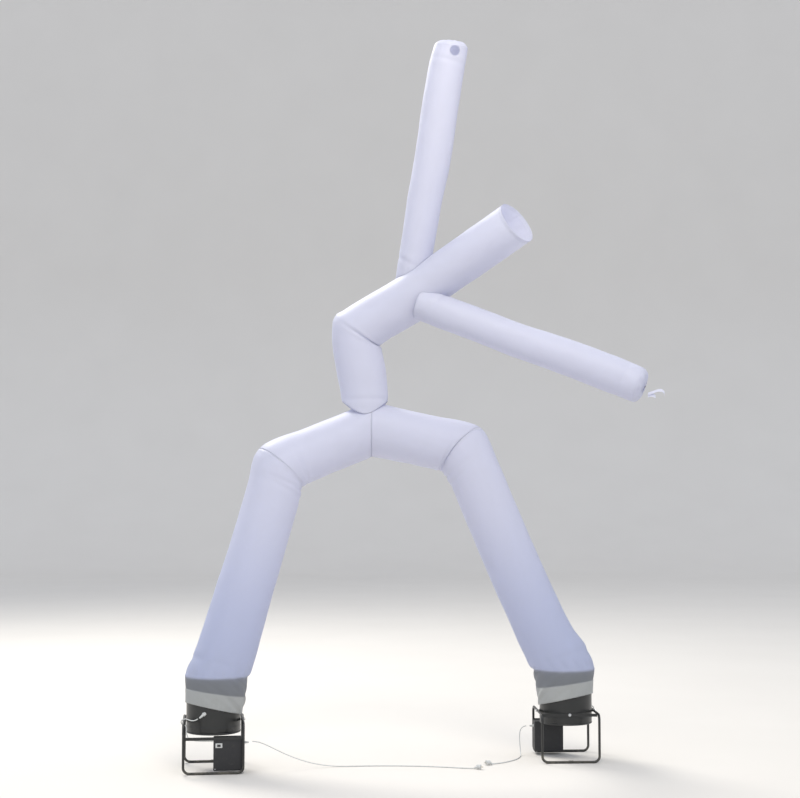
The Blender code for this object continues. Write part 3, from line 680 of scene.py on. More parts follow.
def tube_piece(name, tube, look, replaces, start=None, end_cap=0.0, sides=128, spacing=0.0125, outlet=None):
    """A sewn tube of cloth: a grid of rows from where each line starts to the tube's end, and over the
    flat end panel where it has one, lifted by its relief and opened where the air gets out."""
    cloth = bpy.context.scene.dancer_cloth
    angle = np.linspace(0.0, 2.0 * math.pi, sides, endpoint=False)
    start = np.zeros(sides) if start is None else start
    rows = int(tube.length / spacing) + 1
    share = np.linspace(0.0, 1.0, rows)
    share = share - 0.035 * np.sin(2.0 * math.pi * share)
    run = start[None, :] + (tube.length - start[None, :]) * share[:, None]
    angle = np.broadcast_to(angle, run.shape)
    from_start, to_end = run - start[None, :], tube.length - run
    lift = cloth_lift(run, angle, from_start, to_end, look)
    hem = np.zeros_like(run) if not look.hem else (to_end < look.hem).astype(float)
    # where the nylon material paints the drum's shade; only a cuff sets it
    backed = np.zeros_like(run)
    if look.cuff:
        lift, hem, backed = look.cuff(tube, run, angle, lift)
    points = tube.surface(run, angle, lift)
    seam = np.minimum(from_start if look.seams[0] else NO_SEAM,
                      to_end if look.seams[1] or look.hem else NO_SEAM)
    mean_radius = float(tube.values[:, 5].mean())
    girth = mean_radius * 2.0 * math.pi
    around = angle * mean_radius
    along = run.copy()
    if end_cap:
        turn = np.linspace(0.0, math.pi / 2, 22)[1:, None]
        size, rise = np.cos(turn) ** 0.55, end_cap * np.sin(turn) ** 1.2
        size[-1] = 0.0
        centre, across, near, width, _ = tube.axes(np.array([tube.length]))
        heading = np.cross(across, near)
        heading *= np.sign((heading * (tube.values[-1, :3] - tube.values[-2, :3])).sum())
        rim = points[-1] - centre
        puff = 0.0035 * np.sin(2 * turn) * np.cos(9 * angle[:1] + look.phase) * size
        cap = centre + rim[None] * size[..., None] + heading * (rise + puff)[..., None]
        points = np.concatenate([points, cap])
        radius = float(width[0, 0])
        seam = np.concatenate([seam, np.broadcast_to(radius * (1.0 - size), cap.shape[:2])])
        along = np.concatenate([along, np.broadcast_to(tube.length + radius * (1.0 - size), cap.shape[:2])])
        around = np.concatenate([around, np.broadcast_to(around[:1], cap.shape[:2])])
        hem = np.concatenate([hem, np.zeros(cap.shape[:2])])
        backed = np.concatenate([backed, np.zeros(cap.shape[:2])])
    rows = len(points)
    flat = points.reshape(-1, 3)
    faces = grid_faces(rows, sides, True)
    if outlet is not None:
        flat, faces = opened(flat, faces, outlet)
    uv = np.stack([around.ravel(), along.ravel()], axis=1)
    corner_uv = uv[faces.ravel()].reshape(-1, 4, 2)
    wrapped = (corner_uv[:, :, 0].max(axis=1) - corner_uv[:, :, 0].min(axis=1)) > girth / 2
    corner_uv[:, :, 0] += np.where(wrapped[:, None] & (corner_uv[:, :, 0] < girth / 2), girth, 0.0)
    piece = mesh_piece(name, flat, faces, "nylon", "nylon", replaces, uv=uv,
                       layers={"seam": seam, "hem": hem, "backed": backed},
                       uv_faces=corner_uv.reshape(-1, 2))
    wall = piece.modifiers.new("cloth thickness", "SOLIDIFY")
    wall.thickness = cloth.thickness
    wall.offset = -1.0
    length = tube.length - float(start.mean()) + (0.8 * tube.values[-1, 5] if end_cap else 0.0)
    return piece


def opened(points, faces, outlet):
    """Cuts a round hole: cells whose middle is nearer the outlet's axis than its radius go, and the
    points on the edge of what stays are moved out or in to the radius."""
    at, way = np.array(outlet.at) + SHIFT, np.array(outlet.opens) / np.linalg.norm(outlet.opens)

    def off_axis(place):
        offset = place - at
        height = offset @ way
        radial = offset - height[:, None] * way
        return radial, np.linalg.norm(radial, axis=1), height

    _, distance, height = off_axis(points[faces].mean(axis=1))
    gone = (distance < outlet.radius) & (np.abs(height) < 0.09)
    edge = np.intersect1d(faces[gone].ravel(), faces[~gone].ravel())
    radial, distance, _ = off_axis(points[edge])
    points = points.copy()
    points[edge] += radial * (outlet.radius / np.maximum(distance, 1e-6) - 1.0)[:, None]
    return points, faces[~gone]


def sweep(route, radius, sides=12, caps=True):
    """A round tube along a route: at each point a circle square to the route, in axes carried along it
    without twist; radius may be a number or one for each point."""
    route = np.asarray(route, float)
    ahead = np.gradient(route, axis=0)
    ahead /= np.linalg.norm(ahead, axis=1)[:, None]
    side = np.zeros_like(route)
    first = np.cross(ahead[0], (0.0, 0.0, 1.0) if abs(ahead[0][2]) < 0.9 else (1.0, 0.0, 0.0))
    side[0] = first / np.linalg.norm(first)
    for i in range(1, len(route)):
        carried = side[i - 1] - ahead[i] * (side[i - 1] @ ahead[i])
        side[i] = carried / np.linalg.norm(carried)
    up = np.cross(ahead, side)
    angle = np.linspace(0.0, 2.0 * math.pi, sides, endpoint=False)
    radius = np.broadcast_to(np.asarray(radius, float), (len(route),))[:, None, None]
    rings = route[:, None, :] + radius * (side[:, None, :] * np.cos(angle)[None, :, None]
                                          + up[:, None, :] * np.sin(angle)[None, :, None])
    faces = grid_faces(len(route), sides, True).tolist()
    if caps:
        count = len(route) * sides
        faces += [list(range(sides))[::-1], list(range(count - sides, count))]
    return rings.reshape(-1, 3), faces


def lathe(profile, steps=48, hexagon=False):
    """A profile of (radius, height) turned round the z axis; a hexagon's radius grows to its corners."""
    profile = np.array(profile, float)
    angle = np.linspace(0.0, 2.0 * math.pi, steps, endpoint=False)
    grow = 1.0
    if hexagon:
        grow = 1.0 / np.cos((angle + math.pi / 6) % (math.pi / 3) - math.pi / 6)
    radius = profile[:, 0:1] * grow
    points = np.stack([radius * np.cos(angle), radius * np.sin(angle),
                       np.broadcast_to(profile[:, 1:2], radius.shape if hexagon else (len(profile), steps))],
                      axis=-1)
    return points.reshape(-1, 3), grid_faces(len(profile), steps, True)


def aimed(part, base, axis):
    """A part made round the z axis, stood at base with its z along axis."""
    points, faces = part
    turn = np.array(Vector((0.0, 0.0, 1.0)).rotation_difference(Vector(axis).normalized()).to_matrix())
    return points @ turn.T + np.asarray(base, float), faces


def rounded_box(low, high, edge, steps=6):
    """A box with rounded edges and corners: each point of a sphere of the edge's radius is moved to the
    corner of the inner box on its own side."""
    low, high = np.array(low, float), np.array(high, float)
    angles = np.concatenate([np.linspace(q * math.pi / 2, (q + 1) * math.pi / 2, steps) for q in range(4)])
    quarter = np.repeat(np.arange(4), steps)
    lift = np.concatenate([np.linspace(-math.pi / 2, 0, steps), np.linspace(0, math.pi / 2, steps)])
    upper = np.repeat([0, 1], steps)
    sign_x, sign_y = np.array([1, -1, -1, 1])[quarter], np.array([1, 1, -1, -1])[quarter]
    inner_low, inner_high = low + edge, high - edge
    out = edge * np.cos(lift)[:, None]
    x = np.where(sign_x > 0, inner_high[0], inner_low[0])[None, :] + out * np.cos(angles)
    y = np.where(sign_y > 0, inner_high[1], inner_low[1])[None, :] + out * np.sin(angles)
    z = np.where(upper > 0, inner_high[2], inner_low[2])[:, None] + edge * np.sin(lift)[:, None]
    points = np.stack([x, y, np.broadcast_to(z, x.shape)], axis=-1)
    rows, columns = x.shape
    faces = grid_faces(rows, columns, True).tolist()
    faces += [list(range(columns))[::-1], list(range((rows - 1) * columns, rows * columns))]
    return points.reshape(-1, 3), faces


def smooth_route(points, count):
    """Points at even spacing on the Catmull-Rom curve through the route's own points."""
    own = np.array(points, float)
    ends = np.vstack([2 * own[0] - own[1], own, 2 * own[-1] - own[-2]])
    share = np.linspace(0.0, 1.0, 24, endpoint=False)[None, :, None]
    a, b, c, d = (ends[i:len(ends) - 3 + i][:, None, :] for i in range(4))
    spans = 0.5 * (2 * b + (c - a) * share + (2 * a - 5 * b + 4 * c - d) * share**2
                   + (3 * b - a - 3 * c + d) * share**3)
    curve = np.vstack([spans.reshape(-1, 3), own[-1:]])
    run = np.concatenate([[0.0], np.cumsum(np.linalg.norm(np.diff(curve, axis=0), axis=1))])
    even = np.linspace(0.0, run[-1], count)
    return np.stack([np.interp(even, run, curve[:, axis]) for axis in range(3)], axis=1)


def rounded_path(corners, radius, steps=10):
    """The path through the corners with a circular bend of the radius at each one but the ends."""
    corners = [np.array(corner, float) for corner in corners]
    path = [corners[0][None]]
    for before, corner, after in zip(corners, corners[1:], corners[2:]):
        back = (before - corner) / np.linalg.norm(before - corner)
        on = (after - corner) / np.linalg.norm(after - corner)
        angle = np.linspace(0.0, math.pi / 2, steps)[:, None]
        path.append(corner + (back + on) * radius
                    - on * radius * np.cos(angle) - back * radius * np.sin(angle))
    return np.concatenate([*path, corners[-1][None]])


def resampled(path, spacing):
    """The same path with points between its own wherever they are further apart than the spacing."""
    pieces = []
    for a, b in zip(path[:-1], path[1:]):
        count = max(1, int(np.linalg.norm(b - a) / spacing))
        pieces.append(a + (b - a) * np.linspace(0.0, 1.0, count, endpoint=False)[:, None])
    return np.concatenate([*pieces, path[-1:]])


def on_blower(points, blower):
    """Points of a blower's own frame, turned and carried to where it stands."""
    turn = math.radians(blower.turn)
    cosine, sine = math.cos(turn), math.sin(turn)
    points = np.asarray(points, float)
    x = points[..., 0] * cosine - points[..., 1] * sine + blower.x
    y = points[..., 0] * sine + points[..., 1] * cosine + blower.y
    return np.stack([x, y, points[..., 2]], axis=-1) + SHIFT


def blower_piece(name, blower, parts, finish, slot, replaces=(), sharp=40):
    """One or more parts of a blower, made in its own frame, as one piece where the blower stands."""
    points, faces = joined(parts)
    return mesh_piece(f"{name}_{blower.side}", on_blower(points, blower), faces, finish, slot, replaces,
                      sharp=sharp)


# ---------------------------------------------------------------- the dancer's cloth

def cuff(tube, run, angle, lift):
    """The foot of a leg, pulled over its drum: a ridge where it passes the drum's rim, a doubled band
    below, and slanting folds on the side where it is loose."""
    band_width = bpy.context.scene.dancer_cloth.cuff_hem
    height = tube.surface(run, angle)[..., 2]
    to_end = tube.length - run
    loose = facing(angle, 0.0, 2.0)
    below = 1.0 / (1.0 + np.exp((height - DRUM_TOP) / 0.004))
    folds = np.sin(58.0 * run + 9.0 * angle) + 0.5 * np.sin(95.0 * run + 14.0 * angle + 1.0)
    band = to_end < band_width
    lift = lift + 0.0050 * loose * below * folds * np.clip(to_end / 0.05, 0.25, 1.0)
    near_rim = bell(height - DRUM_TOP - 0.004, 0.009)
    lift = lift + 0.0040 * near_rim * (1.0 - 0.5 * loose)
    lift = lift + 0.0016 * band - 0.0028 * bell(to_end - band_width, 0.004)
    lift = lift + 0.0018 * np.cos(37 * angle) * np.exp(-to_end / 0.03)
    pull = np.sin(15 * angle + 7.0 * run) * bell(height - DRUM_TOP - 0.05, 0.05)
    # the last value marks the cloth below the drum's rim, where the nylon material paints the drum's shade
    return lift + 0.0022 * pull, band.astype(float), below


def build_legs():
    for side, sections, phase in (("left", LEG_LEFT, 0.4), ("right", LEG_RIGHT, 2.6)):
        tube = Tube(sections)
        creases = (
            Crease(0.10, 0.0, 0.006, 0.016, 0.02), Crease(0.19, 0.5, 0.004, 0.022, -0.04),
            Crease(tube.length - 0.33, 3.3, 0.005, 0.020, 0.03),
        )
        tube_piece(f"leg_cloth_{side}", tube, Look(phase, (True, False), 0.0, creases, cuff), [f"leg_{side}"])


def build_thighs():
    for side, sections, phase in (("left", THIGH_LEFT, 1.3), ("right", THIGH_RIGHT, 3.1)):
        tube = Tube(sections)
        at_hip = 0.11 if side == "left" else tube.length - 0.11
        creases = (Crease(at_hip, 0.0, 0.006, 0.018, 0.03), Crease(tube.length / 2, 0.3, 0.003, 0.05, 0.05))
        tube_piece(f"thigh_cloth_{side}", tube, Look(phase, (True, True), 0.0, creases), [f"thigh_{side}"])


def build_body():
    tube = Tube(BODY)
    angle = np.linspace(0.0, 2.0 * math.pi, 128, endpoint=False)
    start = tube.leaves([Tube(THIGH_LEFT), Tube(THIGH_RIGHT)], angle, 0.45)
    kink = float(tube.stations[5])
    creases = (
        Crease(kink, 0.0, 0.016, 0.016, 0.0), Crease(kink - 0.055, 0.35, 0.006, 0.012, 0.05),
        Crease(kink + 0.060, -0.35, 0.006, 0.012, -0.05), Crease(kink, math.pi, 0.005, 0.010, 0.0),
        Crease(kink + 0.16, -1.0, 0.003, 0.03, 0.06),
        Crease(float(start.mean()) + 0.06, 1.2, 0.004, 0.018, 0.03),
    )
    cloth = bpy.context.scene.dancer_cloth
    tube_piece("body_cloth", tube, Look(0.9, (True, False), cloth.hem, creases), ["body"], start=start)


def build_arms():
    angle = np.linspace(0.0, 2.0 * math.pi, 112, endpoint=False)
    body = Tube(BODY)
    for side, sections, outlet, phase in (
            ("left", ARM_LEFT, LEFT_OUTLET, 1.9), ("right", ARM_RIGHT, RIGHT_OUTLET, 0.2)):
        tube = Tube(sections)
        start = tube.leaves([body], angle, 0.55)
        creases = (Crease(float(start.mean()) + 0.09, 2.0, 0.004, 0.02, 0.04),
                   Crease(tube.length - 0.12, 1.2, 0.003, 0.018, 0.02))
        tube_piece(f"arm_cloth_{side}", tube, Look(phase, (True, True), 0.0, creases),
                   [f"arm_{side}", f"arm_{side}_end"], start=start, end_cap=END_DEPTH, sides=112,
                   spacing=0.0115, outlet=outlet)
        build_outlet_binding(side, tube, outlet)


def build_outlet_binding(side, tube, outlet):
    """The bound edge of an air outlet: a thin roll along the circle in which the outlet's cylinder meets
    the arm, found by stepping in along its axis to the first point that is inside the arm."""
    at, way = np.array(outlet.at) + SHIFT, np.array(outlet.opens) / np.linalg.norm(outlet.opens)
    first = np.cross(way, (0.0, 0.0, 1.0))
    first /= np.linalg.norm(first)
    second = np.cross(way, first)
    turn = np.linspace(0.0, 2.0 * math.pi, 72, endpoint=False)
    circle = at + outlet.radius * (np.cos(turn)[:, None] * first + np.sin(turn)[:, None] * second)
    steps = np.linspace(0.09, -0.09, 181)
    lines = circle[None] + steps[:, None, None] * way
    beyond = ((lines - tube.values[-1, :3]) @ (tube.values[-1, :3] - tube.values[-2, :3])
              / np.linalg.norm(tube.values[-1, :3] - tube.values[-2, :3]))
    inside = (tube.outness(lines) < 1.0) & (beyond < END_DEPTH)
    hit = inside.argmax(axis=0)
    loop = lines[hit, np.arange(len(turn))]
    loop = sum(np.roll(loop, k, axis=0) for k in (-2, -1, 0, 1, 2)) / 5.0
    route = np.concatenate([loop, loop[:1]])
    points, faces = sweep(route, 0.0021, 8, caps=False)
    faces = grid_faces(len(route), 8, True)
    mesh_piece(f"outlet_binding_{side}", points, faces, "nylon", "nylon")


def build_streamers():
    """Ribbons at the end of the right arm: a strip that stands on edge along a route, twisting slowly,
    with a rippled free end."""
    for ribbon in RIBBONS:
        middle = smooth_route(ribbon.points, 48) + SHIFT
        share = np.linspace(0.0, 1.0, 48)[:, None, None]
        across = np.linspace(-0.5, 0.5, 9)[None, :, None]
        twist = 0.5 * np.sin(3.0 * share)
        edge = np.concatenate([0.25 * twist, 0.35 + 0.3 * twist, 0.93 - 0.1 * twist], axis=-1)
        ripple = 0.0012 * np.sin(26.0 * share + 5.0 * across) * np.array([0.3, 1.0, 0.0])
        points = middle[:, None, :] + across * edge * ribbon.width + ripple * share
        uv = np.stack([np.broadcast_to(across[..., 0] * ribbon.width, points.shape[:2]).ravel(),
                       np.broadcast_to(share[..., 0] * 0.13, points.shape[:2]).ravel()], axis=1)
        nought = np.zeros(points.shape[:2])
        piece = mesh_piece(ribbon.name + "_cloth", points.reshape(-1, 3), grid_faces(48, 9, False), "nylon",
                           "nylon", [ribbon.name], uv=uv,
                           layers={"seam": nought + NO_SEAM, "hem": nought, "backed": nought})
        wall = piece.modifiers.new("cloth thickness", "SOLIDIFY")
        wall.thickness = RIBBON_THICK
        wall.offset = 0.0


# ---------------------------------------------------------------- the blowers

def build_drum(blower):
    """The housing: a wall between two rolled beads, with two pressed rings, closed above; a wire guard,
    a motor and fan blades show in the recess below."""
    rim = DRUM_RADIUS - 0.016
    wall = []
    for z in np.linspace(DRUM_BOTTOM + 0.018, DRUM_TOP - 0.018, 60):
        ridge = 0.0014 * (bell(z - 0.335, 0.006) + bell(z - 0.655, 0.006))
        wall.append((DRUM_WALL + ridge - 0.0004, z))
    bottom_bead = [(DRUM_RADIUS - 0.0060 + 0.0060 * math.cos(a), DRUM_BOTTOM + 0.0075 + 0.0075 * math.sin(a))
                   for a in np.linspace(-math.pi / 2, math.pi / 2 - 0.3, 9)]
    top_bead = [(r, DRUM_BOTTOM + DRUM_TOP - z) for r, z in reversed(bottom_bead)]
    floor, ceiling = DRUM_BOTTOM + DRUM_RECESS, DRUM_TOP - DRUM_RECESS
    profile = [(0.0005, floor), (rim, floor), (rim, DRUM_BOTTOM + 0.004), *bottom_bead, *wall, *top_bead,
               (rim, DRUM_TOP - 0.002), (rim, ceiling), (0.0005, ceiling)]
    blower_piece("fan_drum", blower, [lathe(profile, 128)], "paint", "housing", [f"drum_{blower.side}"])


def build_guard(blower):
    """The intake's wire guard: evenly spaced rings on straight spokes, with the motor's cap in the middle
    and the fan's blades as twisted plates above."""
    look = bpy.context.scene.dancer_blowers
    level = DRUM_BOTTOM + 0.006
    wires = []
    for radius in np.linspace(0.052, DRUM_RADIUS - 0.018, look.guard_rings):
        turn = np.linspace(0.0, 2.0 * math.pi, 73)
        ring = np.stack([radius * np.cos(turn), radius * np.sin(turn), np.full_like(turn, level)], axis=1)
        points, _ = sweep(ring, 0.0016, 6, caps=False)
        wires.append((points, grid_faces(73, 6, True)))
    for turn in np.arange(look.guard_spokes) * 2.0 * math.pi / look.guard_spokes:
        way = np.array([math.cos(turn), math.sin(turn), 0.0])
        ends = np.linspace(0.040, DRUM_RADIUS - 0.016, 8)[:, None] * way + (0.0, 0.0, level + 0.003)
        wires.append(sweep(ends, 0.0022, 8))
    blower_piece("intake_guard", blower, wires, "wire", "housing")
    cap = [(0.0005, -0.018), (0.030, -0.016), (0.042, -0.010), (0.046, 0.0), (0.046, 0.020), (0.0005, 0.020)]
    hub = aimed(lathe(cap, 40), (0.0, 0.0, level + 0.008), (0.0, 0.0, 1.0))
    blades = []
    out = np.linspace(0.044, 0.185, 9)[:, None]
    chord = np.linspace(-0.5, 0.5, 5)[None, :]
    for turn in np.arange(5) * 2.0 * math.pi / 5:
        angle = turn + chord * 0.75 * (0.6 + 0.6 * (out - 0.044) / 0.14)
        x, y = out * np.cos(angle), out * np.sin(angle)
        z = level + 0.018 + chord * 0.010 * (1.2 - out / 0.25)
        for offset in (0.0, 0.0012):
            blades.append((np.stack([x, y, z + offset], axis=-1).reshape(-1, 3), grid_faces(9, 5, False)))
    blower_piece("fan_hub", blower, [hub, *blades], "paint", "housing")


def build_frame(blower):
    """The stand: one bent tube whose two ends meet behind, with a weld sleeve over the joint."""
    w, d, top, low = FRAME_HALF_WIDTH, FRAME_HALF_DEPTH, FRAME_TOP, FRAME_TUBE + 0.0001
    corners = [(0.0, d, low), (w, d, low), (w, d, top), (w, -d, top), (w, -d, low), (-w, -d, low),
               (-w, -d, top), (-w, d, top), (-w, d, low), (-0.0005, d, low)]
    path = resampled(rounded_path(corners, FRAME_BEND), 0.03)
    blower_piece("frame_tube", blower, [sweep(path, FRAME_TUBE, 20)], "paint", "housing",
                 [f"frame_{blower.side}"])
    sleeve = [(0.0102, -0.018), (0.0110, -0.0175), (0.0112, -0.016), (0.0112, 0.016), (0.0110, 0.0175),
              (0.0102, 0.018)]
    part = aimed(lathe(sleeve, 24), (0.0, d, low + 0.0013), (1.0, 0.0, 0.0))
    blower_piece("frame_sleeve", blower, [part], "paint", "housing")


def strap_part(line, top):
    """A flat strap along a line in plan: its four corners carried along the line, standing on edge."""
    line = np.array(line, float)
    ahead = np.gradient(line, axis=0)
    ahead /= np.linalg.norm(ahead, axis=1)[:, None]
    out = np.stack([-ahead[:, 1], ahead[:, 0]], axis=1) * STRAP_THICK / 2
    soft, flat = 0.0008, 0.6
    section = [(-1, -STRAP_HIGH + soft), (-flat, -STRAP_HIGH), (flat, -STRAP_HIGH), (1, -STRAP_HIGH + soft),
               (1, -soft), (flat, 0.0), (-flat, 0.0), (-1, -soft)]
    rows = []
    for side, drop in section:
        rows.append(np.concatenate([line + out * side, np.full((len(line), 1), top + drop)], axis=1))
    points = np.stack(rows, axis=1)
    count = len(section)
    faces = grid_faces(len(line), count, True).tolist()
    faces += [list(range(count))[::-1], list(range((len(line) - 1) * count, len(line) * count))]
    return points.reshape(-1, 3), faces


def build_straps(blower):
    side = blower.side
    end = FRAME_HALF_WIDTH - FRAME_FLAT - 0.0006
    middle = DRUM_WALL + 0.0008 + STRAP_THICK / 2
    x = np.linspace(-end, end, 61)
    bend = np.clip((np.abs(x) - 0.075) / (end - 0.075), 0.0, 1.0)
    y = middle + (0.2335 - middle) * bend**1.15
    upper = strap_part(np.stack([x, y], axis=1), UPPER_STRAP_TOP)
    blower_piece("upper_strap_shape", blower, [upper], "paint", "housing", [f"upper_strap_{side}"])
    front = BOX_FRONT - 0.0006 - STRAP_THICK / 2
    x = np.linspace(-FRAME_HALF_WIDTH - 0.004, FRAME_HALF_WIDTH + 0.004, 31)
    lower = strap_part(np.stack([x, np.full_like(x, front)], axis=1), LOWER_STRAP_TOP)
    blower_piece("lower_strap_shape", blower, [lower], "paint", "housing", [f"lower_strap_{side}"])


def bolt_part(radius, height):
    """A hexagon bolt head on a washer, with the chamfer on its corners."""
    washer = lathe([(POLE, 0.0), (radius * 1.12, 0.0), (radius * 1.14, 0.0004), (radius * 1.14, 0.0014),
                    (radius * 1.10, 0.0018), (POLE, 0.0018)], 36)
    head = lathe([(POLE, 0.0018), (radius * 0.84, 0.0018), (radius * 0.86, 0.0022),
                  (radius * 0.86, height * 0.8), (radius * 0.76, height), (POLE, height)], 36, hexagon=True)
    return joined([washer, head])


def build_bolts(blower):
    side = blower.side
    out = DRUM_WALL + STRAP_THICK + 0.0012
    strap = aimed(bolt_part(0.0105, 0.0085), (0.0, out, UPPER_STRAP_TOP - STRAP_HIGH / 2), (0.0, 1.0, 0.0))
    blower_piece("strap_bolt_head", blower, [strap], "steel", "bolt", [f"strap_bolt_{side}"], 30)
    reach = FRAME_HALF_WIDTH + FRAME_FLAT + 0.0004
    inner = FRAME_HALF_WIDTH - FRAME_FLAT - 0.0004
    heads, spacers = [], []
    for way in (-1.0, 1.0):
        heads.append(aimed(bolt_part(0.0095, 0.0078), (way * reach, 0.0, FRAME_TOP), (way, 0.0, 0.0)))
        long = inner - DRUM_WALL - 0.0006
        ring = [(POLE, 0.0), (0.0110, 0.0), (0.0118, 0.0006), (0.0118, long - 0.0006), (0.0110, long),
                (POLE, long)]
        spacers.append(aimed(lathe(ring, 32), (way * (inner - long), 0.0, FRAME_TOP), (way, 0.0, 0.0)))
    blower_piece("side_bolt_heads", blower, heads, "steel", "bolt",
                 [f"side_bolt_{side}_a", f"side_bolt_{side}_b"], 30)
    blower_piece("side_spacers_shape", blower, spacers, "paint", "housing",
                 [f"side_spacer_{side}_a", f"side_spacer_{side}_b"])


def build_box(blower):
    """The control box: a base and a lid with a shadow gap between them, four lid screws, louvres in the
    open side, and a switch on its plate."""
    side = blower.side
    width, depth, height = BOX_SIZE
    front, back, low, top = BOX_FRONT + 0.0004, BOX_FRONT + depth, BOX_BOTTOM, BOX_BOTTOM + height
    split = front + 0.030
    parts = [rounded_box((0.0, front, low), (width, split - 0.0007, top), 0.008),
             rounded_box((0.0, split + 0.0007, low), (width, back, top), 0.008),
             rounded_box((0.004, split - 0.004, low + 0.004), (width - 0.004, split + 0.004, top - 0.004),
                         0.003)]
    for step in range(7):
        z = low + 0.060 + 0.016 * step
        parts.append(rounded_box((width - 0.004, split + 0.018, z), (width + 0.0008, split + 0.074, z + 0.006),
                                 0.0012, 3))
    blower_piece("control_box_shape", blower, parts, "box", "box", [f"control_box_{side}"], 35)
    screws = []
    for x in (0.013, width - 0.013):
        for z in (low + 0.013, top - 0.013):
            screws.append(aimed(lathe([(POLE, 0.0), (0.0042, 0.0), (0.0042, 0.0006), (0.0032, 0.0016),
                                       (0.0014, 0.0019), (0.0013, 0.0009), (POLE, 0.0009)], 20),
                                (x, front + 0.0001, z), (0.0, -1.0, 0.0)))
    blower_piece("lid_screws", blower, screws, "steel", "bolt")
    plate_front = BOX_FRONT - 0.0033
    plate = [rounded_box((0.016, plate_front + 0.0006, 0.198), (0.068, BOX_FRONT + 0.0002, 0.233), 0.0012, 4),
             rounded_box((0.0205, plate_front, 0.2025), (0.0635, plate_front + 0.0012, 0.2285), 0.0005, 3)]
    blower_piece("switch_plate_shape", blower, plate, "plate", "plate", [f"switch_plate_{side}"], 30)
    rocker = [rounded_box((0.029, plate_front - 0.0022, 0.2065), (0.055, plate_front + 0.0008, 0.2245),
                          0.001, 3)]
    blower_piece("rocker_switch", blower, rocker, "rocker", "plate", (), 30)


def ribbed(length, first, last, ribs):
    """The profile of a moulded sleeve: it tapers, with rounded ribs as deep as a tenth of its radius."""
    z = np.linspace(0.0, length, ribs * 12 + 1)
    taper = first + (last - first) * z / length
    wave = np.clip(np.cos(z / length * ribs * 2.0 * math.pi), -0.55, 0.55) / 0.55
    radius = taper * (0.955 + 0.045 * wave)
    return [(POLE, 0.0), *zip(radius, z), (POLE, length)]


def build_cables(blower):
    side = blower.side
    out = np.array([math.cos(GLAND_ANGLE), math.sin(GLAND_ANGLE), 0.0])
    sideways = np.array([out[1], -out[0], 0.0])
    axis = out * 0.45 + sideways * 0.66 + np.array([0.0, 0.0, -0.60])
    axis /= np.linalg.norm(axis)
    base = out * (DRUM_WALL + 0.0135) + np.array([0.0, 0.0, GLAND_HEIGHT])
    nut = aimed(lathe([(POLE, -0.004), (0.0125, -0.004), (0.0130, -0.003), (0.0130, 0.006), (0.0118, 0.0075),
                       (POLE, 0.0075)], 36, hexagon=True), base, axis)
    sleeve = aimed(lathe(ribbed(GLAND_LENGTH - 0.006, 0.0112, 0.0058, 5), 32), base + axis * 0.006, axis)
    foot = aimed(lathe([(POLE, -0.0128), (0.0140, -0.0128), (0.0140, -0.0090), (0.0105, -0.0060),
                        (POLE, -0.004)], 32), base, out)
    blower_piece("drum_gland", blower, [nut, sleeve, foot], "cable", "cable", [f"cable_gland_{side}"], 35)
    route = smooth_route(MOTOR_CABLE, 150)
    blower_piece("motor_cable_sheath", blower, [sweep(route, LEAD_RADIUS, 14)], "cable", "cable",
                 [f"motor_cable_{side}"])
    relief = ribbed(RELIEF_LENGTH, 0.0108, 0.0060, 5)
    start = (BOX_SIZE[0] + 0.0003, BOX_FRONT + RELIEF_PLACE[0], RELIEF_PLACE[1])
    blower_piece("strain_relief_shape", blower, [aimed(lathe(relief, 32), start, (1.0, 0.0, 0.0))], "cable",
                 "cable", [f"strain_relief_{side}"], 35)


def build_lead(side, route, points):
    """A mains lead and its plug. The lead is a round sheath along its route."""
    line = smooth_route(route, points) + SHIFT
    line[:, 2] = np.maximum(line[:, 2], LEAD_RADIUS + GROUND_GAP)
    tube, faces = sweep(line, LEAD_RADIUS, 14)
    lead = mesh_piece(f"lead_sheath_{side}", tube, faces, "cable", "cable", [f"lead_{side}"])
    end, before = np.array(route[-1], float), np.array(route[-2], float)
    heading = (end - before) * (1.0, 1.0, 0.0)
    heading /= np.linalg.norm(heading)
    across = np.array([-heading[1], heading[0], 0.0])
    middle = np.array([end[0], end[1], PLUG_RADIUS + GROUND_GAP + 0.001]) + SHIFT
    grip = [(POLE, 0.0180), (0.0105, 0.0182), (0.0150, 0.0200)]
    for z in np.linspace(0.0215, 0.0440, 28):
        grip.append((0.0166 + 0.0008 * math.cos(z * 2.0 * math.pi / 0.0045), z))
    grip += [(0.0172, 0.0450), (0.0186, 0.0462), (0.0190, 0.0475), (0.0190, 0.0540), (0.0182, 0.0549),
             (POLE, 0.0550)]
    body = aimed(lathe(grip, 48), middle, heading)
    neck_line = np.linspace(end + SHIFT + heading * 0.0006, middle + heading * 0.022, 14)
    neck = sweep(neck_line, 0.0078 + 0.0006 * np.cos(np.linspace(0.0, 10.0 * math.pi, 14)), 20)
    plug = mesh_piece(f"plug_shape_{side}", *joined([body, neck]), "cable", "cable", [f"plug_{side}"],
                      sharp=40)
    pins = []
    for way in (-1.0, 1.0):
        pin = [(0.0002, 0.0), (0.0023, 0.0), (0.0023, 0.0178), (0.0018, 0.0188), (0.0002, 0.0190)]
        pins.append(aimed(lathe(pin, 20), middle + heading * PLUG_LENGTH + across * way * 0.0095, heading))
    pin_piece = mesh_piece(f"plug_pins_{side}", *joined(pins), "brass", "cable", (), sharp=40)


# ---------------------------------------------------------------- the stage

